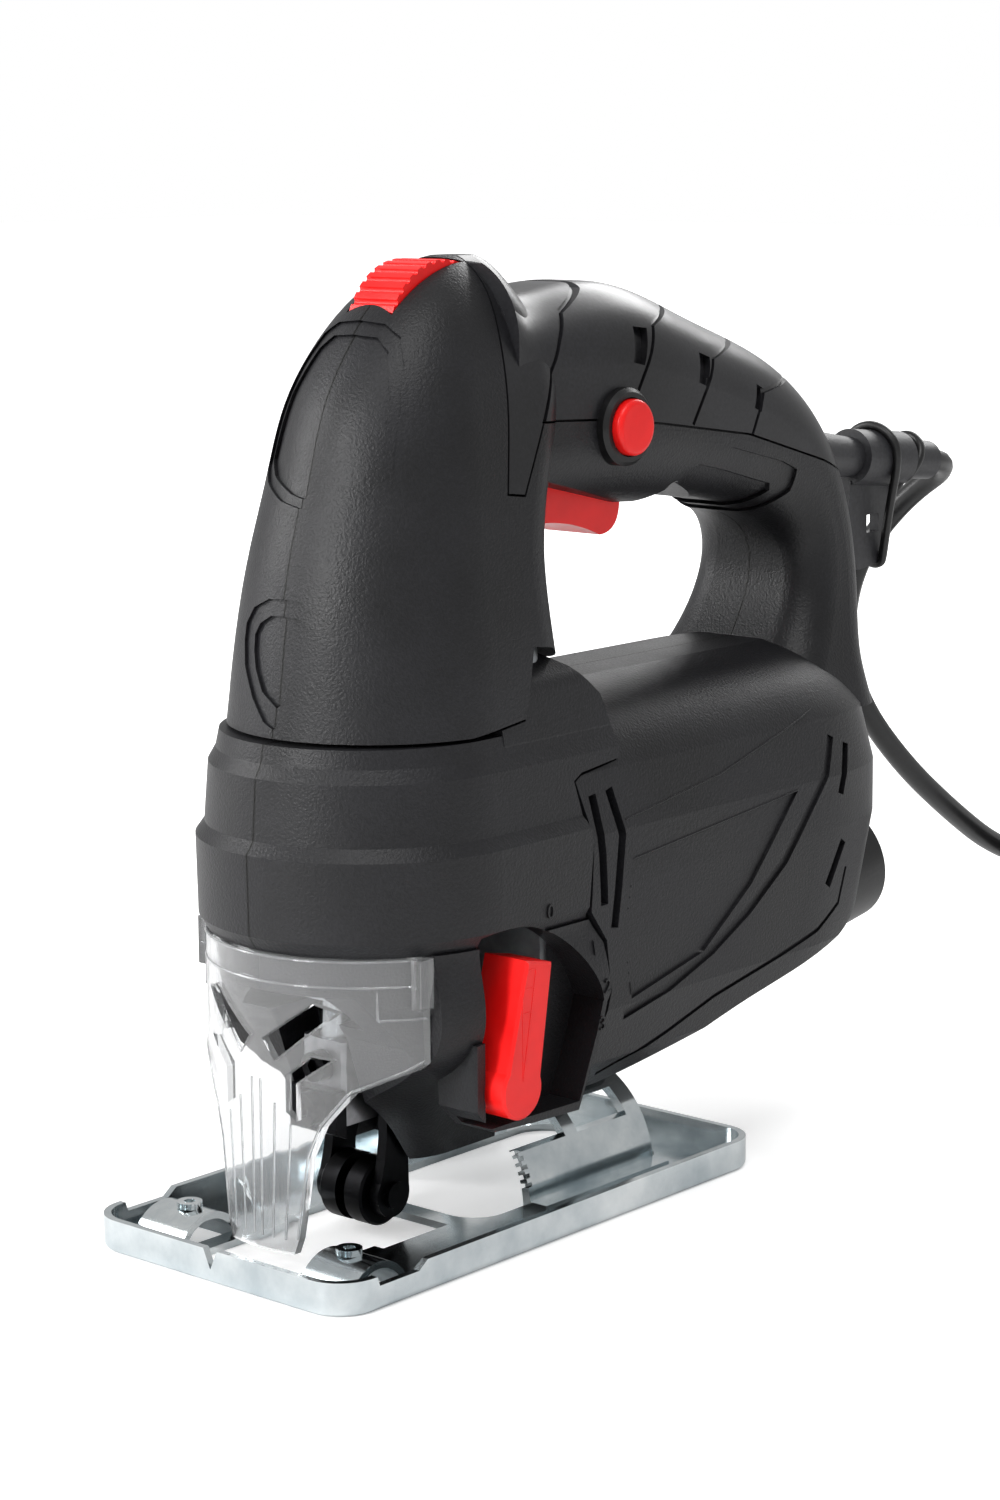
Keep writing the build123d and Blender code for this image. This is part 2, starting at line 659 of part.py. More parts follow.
with BuildPart() as housing_shell:
    add(below_grip.part)
    for relief in housing_relief:
        add(relief, mode=Mode.SUBTRACT)
    add(under_skin.part)
    # saddle that rides on the tilt cradle
    with BuildSketch(Plane.XY.offset(22)):
        with Locations((cradle_front - cradle_length / 2, 0)):
            RectangleRounded(cradle_length - 4, 2 * 13.5, 3)
    extrude(amount=22)
    add(cover_region(shadow_gap), mode=Mode.SUBTRACT)
    add(tilt_sweep(), mode=Mode.SUBTRACT)
    add(chamber, mode=Mode.SUBTRACT)
    add(motor_room, mode=Mode.SUBTRACT)
    add(swept_sections(handle_sections[:5], inset=handle_inset), mode=Mode.SUBTRACT)
    # ribs that hold the switch, and the boss of a closing screw
    for front, rear in ((-52, -57), (-83, -88)):
        with BuildSketch(side_plane(switch_half + seam_gap)):
            with Locations(((front + rear) / 2, 172)):
                Rectangle(front - rear, 18)
        extrude(amount=-8)
        with BuildSketch(side_plane(-switch_half - seam_gap)):
            with Locations(((front + rear) / 2, 172)):
                Rectangle(front - rear, 18)
        extrude(amount=8)
    boss_x, boss_z = screw_points[-1]
    add(cylinder_y(boss_x, boss_z, -15.5, 15.5, 2.6 * screw_radius))
    # trigger slot
    with BuildSketch(Plane.XY.offset(136)):
        with Locations(((-52.5 - 82.5) / 2, 0)):
            Rectangle(30 + 0.6, trigger_width + 0.6)
    extrude(amount=28, mode=Mode.SUBTRACT)
    # lock button, bezel, dial, dust port and cord sleeve
    add(cylinder_y(button_x, button_z, 6, 40, button_radius + 0.3), mode=Mode.SUBTRACT)
    add(cylinder_y(button_x, button_z, bezel_seat_y, 40, bezel_radius + seam_gap),
        mode=Mode.SUBTRACT)
    add(cylinder_y(dial_x, dial_z, -dial_width / 2 - 0.3, dial_width / 2 + 0.3,
                   dial_radius + 0.5), mode=Mode.SUBTRACT)
    add(cylinder_y(dial_x, dial_z, -dial_width / 2 - 3.3, dial_width / 2 + 3.3,
                   dial_shaft_radius + bush_fit), mode=Mode.SUBTRACT)
    with BuildSketch(port_plane.offset(20)):
        Circle(port_radius + seam_gap)
    extrude(amount=-port_length - 20 - seam_gap, mode=Mode.SUBTRACT)
    with BuildSketch(sleeve_plane):
        Circle(sleeve_base + seam_gap)
    extrude(amount=30, mode=Mode.SUBTRACT)
    with BuildSketch(sleeve_plane.offset(-seam_gap)):
        Circle(sleeve_base + 1.8 + seam_gap)
    extrude(amount=2.5 + 2 * seam_gap, mode=Mode.SUBTRACT)
    # air vents: chevrons ahead at the fan, slits behind at the brushes
    for slot in vent_slots:
        with BuildSketch(side_plane(-50)):
            with BuildLine():
                Polyline(*slot)
            trace(line_width=vent_width)
        extrude(amount=-100, mode=Mode.SUBTRACT)
    # tilt clamp's screw and the closing screws
    with BuildSketch(Plane.XY.offset(10)):
        with Locations((clamp_x, 0)):
            Circle(clamp_screw_radius + seam_gap)
    extrude(amount=clamp_screw_top - 10 + 0.2, mode=Mode.SUBTRACT)
    for x, z in screw_points:
        add(cylinder_y(x, z, -screw_seat, screw_seat - 1.8, screw_radius + seam_gap),
            mode=Mode.SUBTRACT)
        add(cylinder_y(x, z, -60, -screw_seat, 2 * screw_radius + 0.3), mode=Mode.SUBTRACT)
print("housing", housing_shell.part.volume, housing_shell.part.is_valid,
      len(housing_shell.part.solids()))

with BuildPart() as housing_left:
    add(housing_shell.part)
    split(bisect_by=Plane.XZ.offset(-seam_gap), keep=Keep.BOTTOM)
with BuildPart() as housing_right:
    add(housing_shell.part)
    split(bisect_by=Plane.XZ.offset(seam_gap), keep=Keep.TOP)
save(housing_left.part, "housing_left")
save(housing_right.part, "housing_right")
save(grip_cover.part, "grip_cover")

# ---- motor ----------------------------------------------------------------------------
fan_front = -50.0
plate_front = -31.0       # front face of the gear case's plate
commutator_radius = 10.0
pinion_front = gear_front + 0.5

with BuildPart() as stator_core:
    with BuildSketch(front_plane(stator_front)):
        with Locations((0, motor_axis_z)):
            Circle(stator_radius)
            Rectangle(2 * stator_radius, 1.55 * stator_radius, mode=Mode.INTERSECT)
            Circle(armature_radius + 0.5, mode=Mode.SUBTRACT)
            with PolarLocations(armature_radius + 2.5, 2):
                Rectangle(7, 13, mode=Mode.SUBTRACT)
    extrude(amount=-stator_length)
save(stator_core.part, "stator_core")

with BuildPart() as field_coils:
    for side in (1, -1):
        for start, reach in ((stator_front, coil_reach), (stator_rear, -coil_reach)):
            with BuildSketch(front_plane(start)):
                with Locations((0, motor_axis_z + side * (armature_radius + 5.5))):
                    Rectangle(18, 5)
            extrude(amount=reach)
save(field_coils.part, "field_coils")

with BuildPart() as armature_shaft:
    add(cylinder_x(0, motor_axis_z, shaft_rear, pinion_front - gear_width - 1, shaft_radius))
    for tooth in range(pinion_teeth):
        turn = 360 / pinion_teeth * tooth
        with BuildSketch(front_plane(pinion_front - gear_width - 1.5)):
            with Locations(Location((0, motor_axis_z, 0), (0, 0, turn))):
                Polygon((0, -0.85), (3.0, -0.55), (3.5, -0.3), (3.5, 0.3), (3.0, 0.55), (0, 0.85),
                        align=None)
        extrude(amount=gear_width + 1.5)
    with BuildSketch(front_plane(pinion_front - gear_width - 1.5)):
        with Locations((0, motor_axis_z)):
            Circle(2.1)
    extrude(amount=gear_width + 1.5)
save(armature_shaft.part, "armature_shaft")

with BuildPart() as armature_core:
    with BuildSketch(front_plane(stator_front - 2)):
        with Locations((0, motor_axis_z)):
            Circle(armature_radius)
            Circle(shaft_radius, mode=Mode.SUBTRACT)
            with PolarLocations(armature_radius, 12):
                Rectangle(5, 1.8, mode=Mode.SUBTRACT)
    extrude(amount=-(stator_length - 4))
save(armature_core.part, "armature_core")

with BuildPart() as commutator:
    with BuildSketch(front_plane(-118)):
        with Locations((0, motor_axis_z)):
            Circle(commutator_radius)
            Circle(shaft_radius, mode=Mode.SUBTRACT)
            with PolarLocations(commutator_radius, 24):
                Rectangle(1.2, 0.5, mode=Mode.SUBTRACT)
    extrude(amount=-13)
save(commutator.part, "commutator")

with BuildPart() as cooling_fan:
    with BuildSketch(front_plane(fan_front)):
        with Locations((0, motor_axis_z)):
            Circle(fan_radius)
            Circle(shaft_radius, mode=Mode.SUBTRACT)
    extrude(amount=-2)
    with BuildSketch(front_plane(fan_front - 2)):
        with Locations((0, motor_axis_z)):
            with PolarLocations((fan_radius + 9) / 2, 11):
                Rectangle(fan_radius - 9, 1.2, rotation=18)
            Circle(8)
            Circle(shaft_radius, mode=Mode.SUBTRACT)
    extrude(amount=-5)
save(cooling_fan.part, "cooling_fan")

for name, front in (("front_bearing", plate_front), ("rear_bearing", bearing_seat)):
    with BuildPart() as bearing:
        with BuildSketch(front_plane(front)):
            with Locations((0, motor_axis_z)):
                Circle(bearing_radius)
                Circle(shaft_radius + 0.02, mode=Mode.SUBTRACT)
        extrude(amount=-bearing_width)
        groove = bearing.edges().filter_by(GeomType.CIRCLE).sort_by(lambda e: e.radius)[-2:]
        chamfer(groove, 0.6)
    save(bearing.part, name)

with BuildPart() as brush_holders:
    for side in (1, -1):
        with BuildSketch(front_plane(-120)):
            with Locations((side * 18.5, motor_axis_z)):
                Rectangle(12.8, 10)
                Rectangle(12.8, 6.2, mode=Mode.SUBTRACT)
        extrude(amount=-9)
save(brush_holders.part, "brush_holders")

with BuildPart() as carbon_brushes:
    for side in (1, -1):
        with BuildSketch(front_plane(-121.5)):
            with Locations((side * 16.1, motor_axis_z)):
                Rectangle(12, 6)
        extrude(amount=-6)
save(carbon_brushes.part, "carbon_brushes")

# ---- gear case, crank gear and plunger ------------------------------------------------
upper_bush_z = 127.5
lower_bush_z = 58.0
bush_height = 9.0
yoke_half_height = 7.0
yoke_half_width = 14.5
yoke_rear = -9.0
axle_radius = 3.5
bush_radius = plunger_radius + 2.5

with BuildPart() as gear_case:
    add(drive_chamber(inset=seam_gap))
    with BuildSketch(front_plane(chamber_rear)):
        with Locations((0, (drive_cavity_floor + 134) / 2)):
            Rectangle(80, 134 - drive_cavity_floor)
    extrude(amount=plate_front - chamber_rear, mode=Mode.INTERSECT)
    add(cylinder_x(0, gear_axis_z, plate_front, gear_front - gear_width - 0.3, 6.5))
    for bush_z in (upper_bush_z, lower_bush_z):
        with BuildSketch(Plane.XY.offset(bush_z - bush_height / 2)):
            with BuildLine():
                Polyline((plate_front, -9), (0, -9))
                ThreePointArc((0, -9), (9, 0), (0, 9))
                Polyline((0, 9), (plate_front, 9), (plate_front, -9))
            make_face()
        extrude(amount=bush_height)
    for bush_z in (upper_bush_z, lower_bush_z):
        with BuildSketch(Plane.XY.offset(bush_z - bush_height / 2)):
            Circle(bush_radius + 0.02)
        extrude(amount=bush_height, mode=Mode.SUBTRACT)
    add(cylinder_x(0, motor_axis_z, -50, plate_front, bearing_radius + 0.02), mode=Mode.SUBTRACT)
    add(cylinder_x(0, gear_axis_z, -50, 0, axle_radius + 0.02), mode=Mode.SUBTRACT)
print("gear case", gear_case.part.is_valid, len(gear_case.part.solids()))
save(gear_case.part, "gear_case")

with BuildPart() as gear_axle:
    add(cylinder_x(0, gear_axis_z, chamber_rear + 0.5, gear_front - 0.5, axle_radius))
save(gear_axle.part, "gear_axle")

with BuildPart() as plunger_bushes:
    for bush_z in (upper_bush_z, lower_bush_z):
        with BuildSketch(Plane.XY.offset(bush_z - bush_height / 2)):
            Circle(bush_radius)
            Circle(plunger_radius + bush_fit, mode=Mode.SUBTRACT)
        extrude(amount=bush_height)
save(plunger_bushes.part, "plunger_bushes")

tooth_depth = 2.25 * gear_module
gear_outer = gear_module * (gear_teeth + 2) / 2
gear_root = gear_outer - tooth_depth
with BuildPart() as crank_gear:
    with BuildSketch(front_plane(gear_front - gear_width)):
        with Locations((0, gear_axis_z)):
            Circle(gear_root)
            with PolarLocations(gear_root - 0.3, gear_teeth):
                Trapezoid(gear_module * 2.0, tooth_depth + 0.3, 70,
                          align=(Align.CENTER, Align.MIN), rotation=-90)
            Circle(axle_radius + bush_fit, mode=Mode.SUBTRACT)
    extrude(amount=gear_width)
    with BuildSketch(front_plane(gear_front)):
        with Locations((0, gear_axis_z)):
            Circle(gear_root - 1.5)
            Circle(8, mode=Mode.SUBTRACT)
    extrude(amount=-2.5, mode=Mode.SUBTRACT)
    add(cylinder_x(0, gear_axis_z + crank_radius, gear_front - gear_width,
                   yoke_rear - yoke_clearance, crank_pin_radius))
    with BuildSketch(front_plane(gear_front)):
        with Locations((0, gear_axis_z - 11)):
            Rectangle(22, 9)
            Circle(10, mode=Mode.SUBTRACT)
    extrude(amount=3)
print("gear", crank_gear.part.volume, crank_gear.part.is_valid, len(crank_gear.part.solids()))
save(crank_gear.part, "crank_gear")

block_top = block_bottom + block_height
with BuildPart() as plunger:
    with BuildSketch(Plane.XY.offset(block_top)):
        Circle(plunger_radius)
    extrude(amount=upper_bush_z + bush_height / 2 + 5 - block_top)
    with BuildSketch(front_plane(yoke_rear)):
        with Locations((0, gear_axis_z)):
            RectangleRounded(2 * yoke_half_width, 2 * yoke_half_height, 4)
            SlotOverall(2 * (crank_radius + crank_pin_radius) + 0.6, 2 * crank_pin_radius + 0.2,
                        mode=Mode.SUBTRACT)
    extrude(amount=5)
    with BuildSketch(Plane.XY.offset(gear_axis_z - yoke_half_height)):
        with Locations((-plunger_radius / 2 - 2, 0)):
            Rectangle(plunger_radius, 9)
    extrude(amount=3)
    with BuildSketch(Plane.XY.offset(gear_axis_z + yoke_half_height - 3)):
        with Locations((-plunger_radius / 2 - 2, 0)):
            Rectangle(plunger_radius, 9)
    extrude(amount=3)
print("plunger", plunger.part.is_valid, len(plunger.part.solids()))
save(plunger.part, "plunger")

with BuildPart() as clamp_block:
    with BuildSketch(Plane.XY.offset(block_bottom)):
        Rectangle(block_width, block_depth)
    extrude(amount=block_height)
    chamfer(clamp_block.edges().filter_by(Axis.Z), 0.8)
    with BuildSketch(Plane.XY.offset(block_bottom)):
        Rectangle(7.5, 1.6)
    extrude(amount=12, mode=Mode.SUBTRACT)
save(clamp_block.part, "clamp_block")

clamp_plate_front = block_width / 2 + 3
with BuildPart() as clamp_plate:
    with BuildSketch(side_plane(-6.5)):
        with BuildLine():
            Polyline((block_width / 2, block_bottom + 8), (block_width / 2, block_bottom - 2.5),
                     (clamp_plate_front, block_bottom - 1), (clamp_plate_front, block_bottom + 8),
                     close=True)
        make_face()
    extrude(amount=-13)
save(clamp_plate.part, "clamp_plate")

with BuildPart() as clamp_screws:
    for screw_z, face, head in ((block_bottom + 4, clamp_plate_front, 3.6),
                                (block_bottom + 12.5, block_width / 2, 3.2)):
        add(cylinder_x(0, screw_z, face, face + 3, head))
        with BuildSketch(front_plane(face + 3)):
            with Locations((0, screw_z)):
                RegularPolygon(1.6, 6)
        extrude(amount=-1.8, mode=Mode.SUBTRACT)
save(clamp_screws.part, "clamp_screws")

# ---- orbital blade guide --------------------------------------------------------------
cheek_inner = roller_width / 2 + cheek_gap
cheek_outer = cheek_inner + cheek_thickness
fork_boss_radius = 5.5
with BuildPart() as roller_fork:
    for side in (1, -1):
        with BuildSketch(side_plane(side * cheek_inner)):
            with BuildLine():
                Polyline((-19.5, fork_pivot_z), (-18, 38), (-13.5, 26), (-10.6, 17.5), (-10.8, 9),
                         (-1.2, 9), (-3.4, 17), (-4.1, 22), (-4.1, 38), (-8.5, fork_pivot_z),
                         close=True)
            make_face()
            with BuildLine():
                Polyline((-6.2, 33.5), (-13.4, 33.5), (-10.6, 26), (-6.8, 19.5), close=True)
            make_face(mode=Mode.SUBTRACT)
            with Locations((roller_x, roller_z)):
                Circle(4.9)
            with Locations((fork_pivot_x, fork_pivot_z)):
                Circle(fork_boss_radius)
                Circle(fork_pin_radius + bush_fit, mode=Mode.SUBTRACT)
            with Locations((roller_x, roller_z)):
                Circle(roller_pin_radius, mode=Mode.SUBTRACT)
        extrude(amount=-side * cheek_thickness)
    with BuildSketch(side_plane(cheek_inner)):
        with Locations((fork_pivot_x, fork_pivot_z)):
            Circle(fork_boss_radius)
            Circle(fork_pin_radius + bush_fit, mode=Mode.SUBTRACT)
    extrude(amount=2 * cheek_inner)
print("fork", roller_fork.part.is_valid, len(roller_fork.part.solids()))
save(roller_fork.part, "roller_fork")

with BuildPart() as guide_roller:
    with BuildSketch(Plane.XY):
        with BuildLine():
            half = roller_width / 2
            rim = roller_radius
            hub = roller_radius - groove_depth
            slot = groove_width / 2
            Polyline((roller_pin_radius + bush_fit, -half), (rim - 0.5, -half), (rim, 0.5 - half),
                     (rim, -slot), (hub, -slot), (hub, slot), (rim, slot), (rim, half - 0.5),
                     (rim - 0.5, half), (roller_pin_radius + bush_fit, half), close=True)
        make_face()
    revolve(axis=Axis.Y)
roller_solid = guide_roller.part.moved(Location((roller_x, 0, roller_z)))
save(roller_solid, "guide_roller")

with BuildPart() as roller_pin:
    add(cylinder_y(roller_x, roller_z, -cheek_outer, cheek_outer, roller_pin_radius))
    for side in (1, -1):
        add(cylinder_y(roller_x, roller_z, side * cheek_outer, side * (cheek_outer + 1.2), 2.9))
save(roller_pin.part, "roller_pin")

with BuildPart() as fork_pin:
    add(cylinder_y(fork_pivot_x, fork_pivot_z, -16, 16, fork_pin_radius))
save(fork_pin.part, "fork_pin")

# ---- orbit lever ----------------------------------------------------------------------
with BuildPart() as orbit_lever:
    with BuildSketch(side_plane(lever_inner_y)):
        with Locations((lever_pivot_x, lever_pivot_z)):
            Circle(lever_hub_radius)
            with Locations(Location((0, 0, 0), (0, 0, lever_lean))):
                with Locations((0, lever_reach / 2)):
                    Trapezoid(2 * lever_hub_radius - 1.4, lever_reach, 87)
    extrude(amount=lever_inner_y - lever_outer_y)
    chamfer(orbit_lever.edges().group_by(Axis.Y)[-1], 0.6)
save(orbit_lever.part, "orbit_lever")

with BuildPart() as lever_shaft:
    add(cylinder_y(lever_pivot_x, lever_pivot_z, 12, lever_inner_y, lever_shaft_radius))
save(lever_shaft.part, "lever_shaft")

# ---- trigger, lock button, switch and dial --------------------------------------------
switch_bottom = 164.0
with BuildPart() as trigger:
    with BuildSketch(side_plane(trigger_width / 2)):
        with BuildLine():
            Polyline((-52.5, trigger_top), (-52.5, 145.6))
            pull = ThreePointArc((-52.5, 145.6), (-64, 145.0), (-75.6, 141.5))
            heel = Spline(pull @ 1, (-80.6, 143.2), (-82.5, 148.5))
            Polyline(heel @ 1, (-82.5, trigger_top), (-52.5, trigger_top))
        make_face()
    extrude(amount=trigger_width)
    fillet(trigger.edges().filter_by(Axis.Y).group_by(Axis.Z)[0], 1.5)
    with BuildSketch(Plane.XY.offset(trigger_top)):
        with Locations((switch_pin_x, 0)):
            Rectangle(switch_pin + 0.6, switch_pin + 0.6)
    extrude(amount=-trigger_travel - 0.6, mode=Mode.SUBTRACT)
save(trigger.part, "trigger")

with BuildPart() as lock_button:
    add(cylinder_y(button_x, button_z, button_inner_y, button_face_y, button_radius))
    fillet(lock_button.edges().group_by(Axis.Y)[-1], 1.2)
save(lock_button.part, "lock_button")

with BuildPart() as button_bezel:
    add(cylinder_y(button_x, button_z, bezel_seat_y, bezel_face_y, bezel_radius))
    add(cylinder_y(button_x, button_z, bezel_seat_y, bezel_face_y, button_radius + 0.3),
        mode=Mode.SUBTRACT)
    chamfer(button_bezel.edges().group_by(Axis.Y)[-1].sort_by(lambda e: e.radius)[-1], 0.9)
save(button_bezel.part, "button_bezel")

with BuildPart() as switch_body:
    with BuildSketch(side_plane(switch_half)):
        with BuildLine():
            Polyline((-50, switch_bottom), (-50, 182), (-90, 180), (-90, switch_bottom),
                     close=True)
        make_face()
    extrude(amount=2 * switch_half)
    with BuildSketch(Plane.XY.offset(switch_bottom)):
        with Locations((switch_pin_x, 0)):
            Rectangle(switch_pin, switch_pin)
    extrude(amount=trigger_top - 0.3 - switch_bottom)
save(switch_body.part, "switch_body")

with BuildPart() as speed_module:
    with BuildSketch(side_plane(switch_half - 1)):
        with BuildLine():
            Polyline((-90, 166), (-90, 178), (-103, 176), (-103, 166), close=True)
        make_face()
    extrude(amount=2 * switch_half - 2)
save(speed_module.part, "speed_module")

with BuildPart() as speed_dial:
    add(cylinder_y(dial_x, dial_z, -dial_width / 2, dial_width / 2, dial_radius))
    add(cylinder_y(dial_x, dial_z, -dial_width / 2 - 3, dial_width / 2 + 3, dial_shaft_radius))
    with BuildSketch(side_plane(-dial_width / 2)):
        with Locations((dial_x, dial_z)):
            with PolarLocations(dial_radius, 36):
                Rectangle(1.2, 1.1, mode=Mode.PRIVATE)
                Circle(0.7)
    extrude(amount=-dial_width, mode=Mode.SUBTRACT)
print("dial", speed_dial.part.is_valid, len(speed_dial.part.solids()))
save(speed_dial.part, "speed_dial")

# ---- dust port, strain relief and key holder ------------------------------------------
with BuildPart() as dust_port:
    with BuildSketch(port_plane):
        Circle(port_radius)
        Circle(port_radius - port_wall, mode=Mode.SUBTRACT)
    extrude(amount=-port_length)
    with BuildSketch(port_plane.offset(-port_length)):
        Circle(port_radius - port_wall)
    extrude(amount=port_wall)
save(dust_port.part, "dust_port")

with BuildPart() as cord_sleeve:
    with BuildSketch(sleeve_plane):
        Circle(sleeve_base)
    extrude(amount=sleeve_taper[0])
    with BuildSketch(sleeve_plane.offset(sleeve_taper[0])):
        Circle(sleeve_base)
    with BuildSketch(sleeve_plane.offset(sleeve_taper[1])):
        Circle(sleeve_radius)
    loft()
    with BuildSketch(sleeve_plane.offset(sleeve_taper[1])):
        Circle(sleeve_radius)
    extrude(amount=sleeve_length - sleeve_taper[1])
    with BuildSketch(sleeve_plane):
        Circle(sleeve_base + 1.8)
    extrude(amount=2.5)
save(cord_sleeve.part, "cord_sleeve")

strap_start = 30.0
strap_width = 20.0
with BuildPart() as key_strap:
    with BuildSketch(sleeve_plane.offset(strap_start)):
        Circle(sleeve_radius + 2.0)
        Circle(sleeve_radius + 0.05, mode=Mode.SUBTRACT)
    extrude(amount=strap_width)
    with BuildSketch(Plane(origin=(-187, 0, 145.3), x_dir=(-1, 0, 0), z_dir=(0, 1, 0))):
        with BuildLine():
            Polyline((-8, -0.9), (9.5, -2.6), (9, -13), (4, -22), (-4, -23), (-9.5, -14),
                     close=True)
        make_face()
        with Locations((1.5, -12)):
            Rectangle(5, 4.4, mode=Mode.SUBTRACT)
    extrude(amount=1.3, both=True)
print("strap", key_strap.part.is_valid, len(key_strap.part.solids()))
save(key_strap.part, "key_strap")

# ---- blade guard ----------------------------------------------------------------------
guard_edge = ((30.5, 44.4), (28, 42.5), (20, 38.4), (15, 31.5), (12.5, 25), (11.4, 17),
              (10.0, 7.5), (8.9, guard_foot))
upper_slot = ((1.8, 48.6), (13.4, 57), (17.9, 55.4), (4.9, 44.3))
lower_slot = ((7.5, 41.6), (12.8, 46.1), (16.8, 45.5), (9.9, 40.3), (9.8, 32.4), (7.5, 34))
with BuildPart() as blade_guard:
    with BuildSketch(Plane.XY.offset(guard_foot)):
        with Locations((guard_centre, 0)):
            Circle(guard_radius)
            Circle(guard_radius - guard_wall, mode=Mode.SUBTRACT)
        with Locations((guard_rear - 60, 0)):
            Rectangle(120, 120, mode=Mode.SUBTRACT)
    extrude(amount=guard_top - guard_foot)
    with BuildSketch(front_plane(-20)):
        with BuildLine():
            left = [(y, z) for y, z in guard_edge]
            right = [(-y, z) for y, z in reversed(guard_edge)]
            Polyline(*left, *right, (-40, guard_edge[0][1]), (-40, guard_top), (40, guard_top),
                     (40, guard_edge[0][1]), close=True)
        make_face()
        for side in (1, -1):
            for slot in (upper_slot, lower_slot):
                with BuildLine():
                    Polyline(*[(side * y, z) for y, z in slot], close=True)
                make_face(mode=Mode.SUBTRACT)
    extrude(amount=70, mode=Mode.INTERSECT)
    for side in (1, -1):
        with BuildSketch(Plane.XY.offset(56)):
            with Locations((guard_rear, side * 30.4)):
                Rectangle(4, 2.4, align=(Align.MIN, Align.CENTER))
        extrude(amount=guard_top - 56)
print("guard", blade_guard.part.is_valid, len(blade_guard.part.solids()))
save(blade_guard.part, "blade_guard")

# ---- shoe -----------------------------------------------------------------------------
shoe_rear = shoe_front - shoe_length
half_shoe = shoe_width / 2
notch_rear = roller_x - roller_radius - roller_room
notch_half = cheek_outer + 6.2
with BuildPart() as shoe_plate:
    with BuildSketch(Plane.XY):
        with Locations(((shoe_front + shoe_rear) / 2, 0)):
            RectangleRounded(shoe_length, shoe_width, shoe_corner)
    extrude(amount=front_flange)
    fillet(shoe_plate.edges().group_by(Axis.Z)[0], 1.4)
    with BuildSketch(Plane.XY.offset(shoe_sheet)):
        with Locations(((shoe_front + shoe_rear) / 2, 0)):
            RectangleRounded(shoe_length - 2 * shoe_sheet, shoe_width - 2 * shoe_sheet,
                             shoe_corner - shoe_sheet)
    extrude(amount=front_flange, mode=Mode.SUBTRACT)
    # lower stretches of the side flanges, and the sighting notch in the front one
    with BuildSketch(side_plane(-half_shoe - 1)):
        with BuildLine():
            Polyline((29.5, front_flange + 1), (28.5, low_flange), (17, low_flange),
                     (14.5, side_flange), (shoe_rear - 1, side_flange),
                     (shoe_rear - 1, front_flange + 1), close=True)
        make_face()
    extrude(amount=-shoe_width - 2, mode=Mode.SUBTRACT)
    with BuildSketch(front_plane(shoe_front - shoe_sheet - 0.5)):
        with BuildLine():
            Polyline((-2.0, front_flange + 0.1), (0, 3.0), (2.0, front_flange + 0.1), close=True)
        make_face()
    extrude(amount=3, mode=Mode.SUBTRACT)
    # openings for the blade and under the cradle, with a notch for the roller
    with BuildSketch(Plane.XY):
        with Locations(((33 - 9) / 2, 0)):
            Rectangle(42, 2 * 12.5)
        with Locations(((4 + notch_rear) / 2, 0)):
            Rectangle(4 - notch_rear, 2 * notch_half)
        with Locations(((-21 - 86) / 2, 0)):
            RectangleRounded(65, 2 * 19.0, 8)
    extrude(amount=shoe_sheet, mode=Mode.SUBTRACT)
    # fence tunnels
    for side in (1, -1):
        near, far = sorted((side * arch_inner_y, side * (arch_inner_y + arch_width)))
        with BuildSketch(side_plane(near)):
            with BuildLine():
                crown = ThreePointArc((arch_front - arch_length, shoe_sheet),
                                      (arch_front - arch_length / 2, arch_height),
                                      (arch_front, shoe_sheet))
                Polyline(crown @ 1, (arch_front, 0), (arch_front - arch_length, 0), crown @ 0)
            make_face()
        extrude(amount=near - far)
        with BuildSketch(side_plane(near - 0.01)):
            with BuildLine():
                hollow = ThreePointArc((arch_front - arch_length + 1.8, shoe_sheet),
                                       (arch_front - arch_length / 2, arch_height - 1.5),
                                       (arch_front - 1.8, shoe_sheet))
                Polyline(hollow @ 1, (arch_front - 1.8, -1), (arch_front - arch_length + 1.8, -1),
                         hollow @ 0)
            make_face()
        extrude(amount=near - far - 0.02, mode=Mode.SUBTRACT)
print("shoe", shoe_plate.part.is_valid, len(shoe_plate.part.solids()))
save(shoe_plate.part, "shoe_plate")

with BuildPart() as fence_screws:
    for side in (1, -1):
        with BuildSketch(Plane.XY.offset(arch_height)):
            with Locations((arch_front - arch_length / 2, side * (arch_inner_y + 6))):
                Circle(2.7)
                RegularPolygon(1.3, 6, mode=Mode.SUBTRACT)
        extrude(amount=1.3)
        with BuildSketch(Plane.XY.offset(arch_height)):
            with Locations((arch_front - arch_length / 2, side * (arch_inner_y + 6))):
                Circle(2.7)
        extrude(amount=0.3)
save(fence_screws.part, "fence_screws")

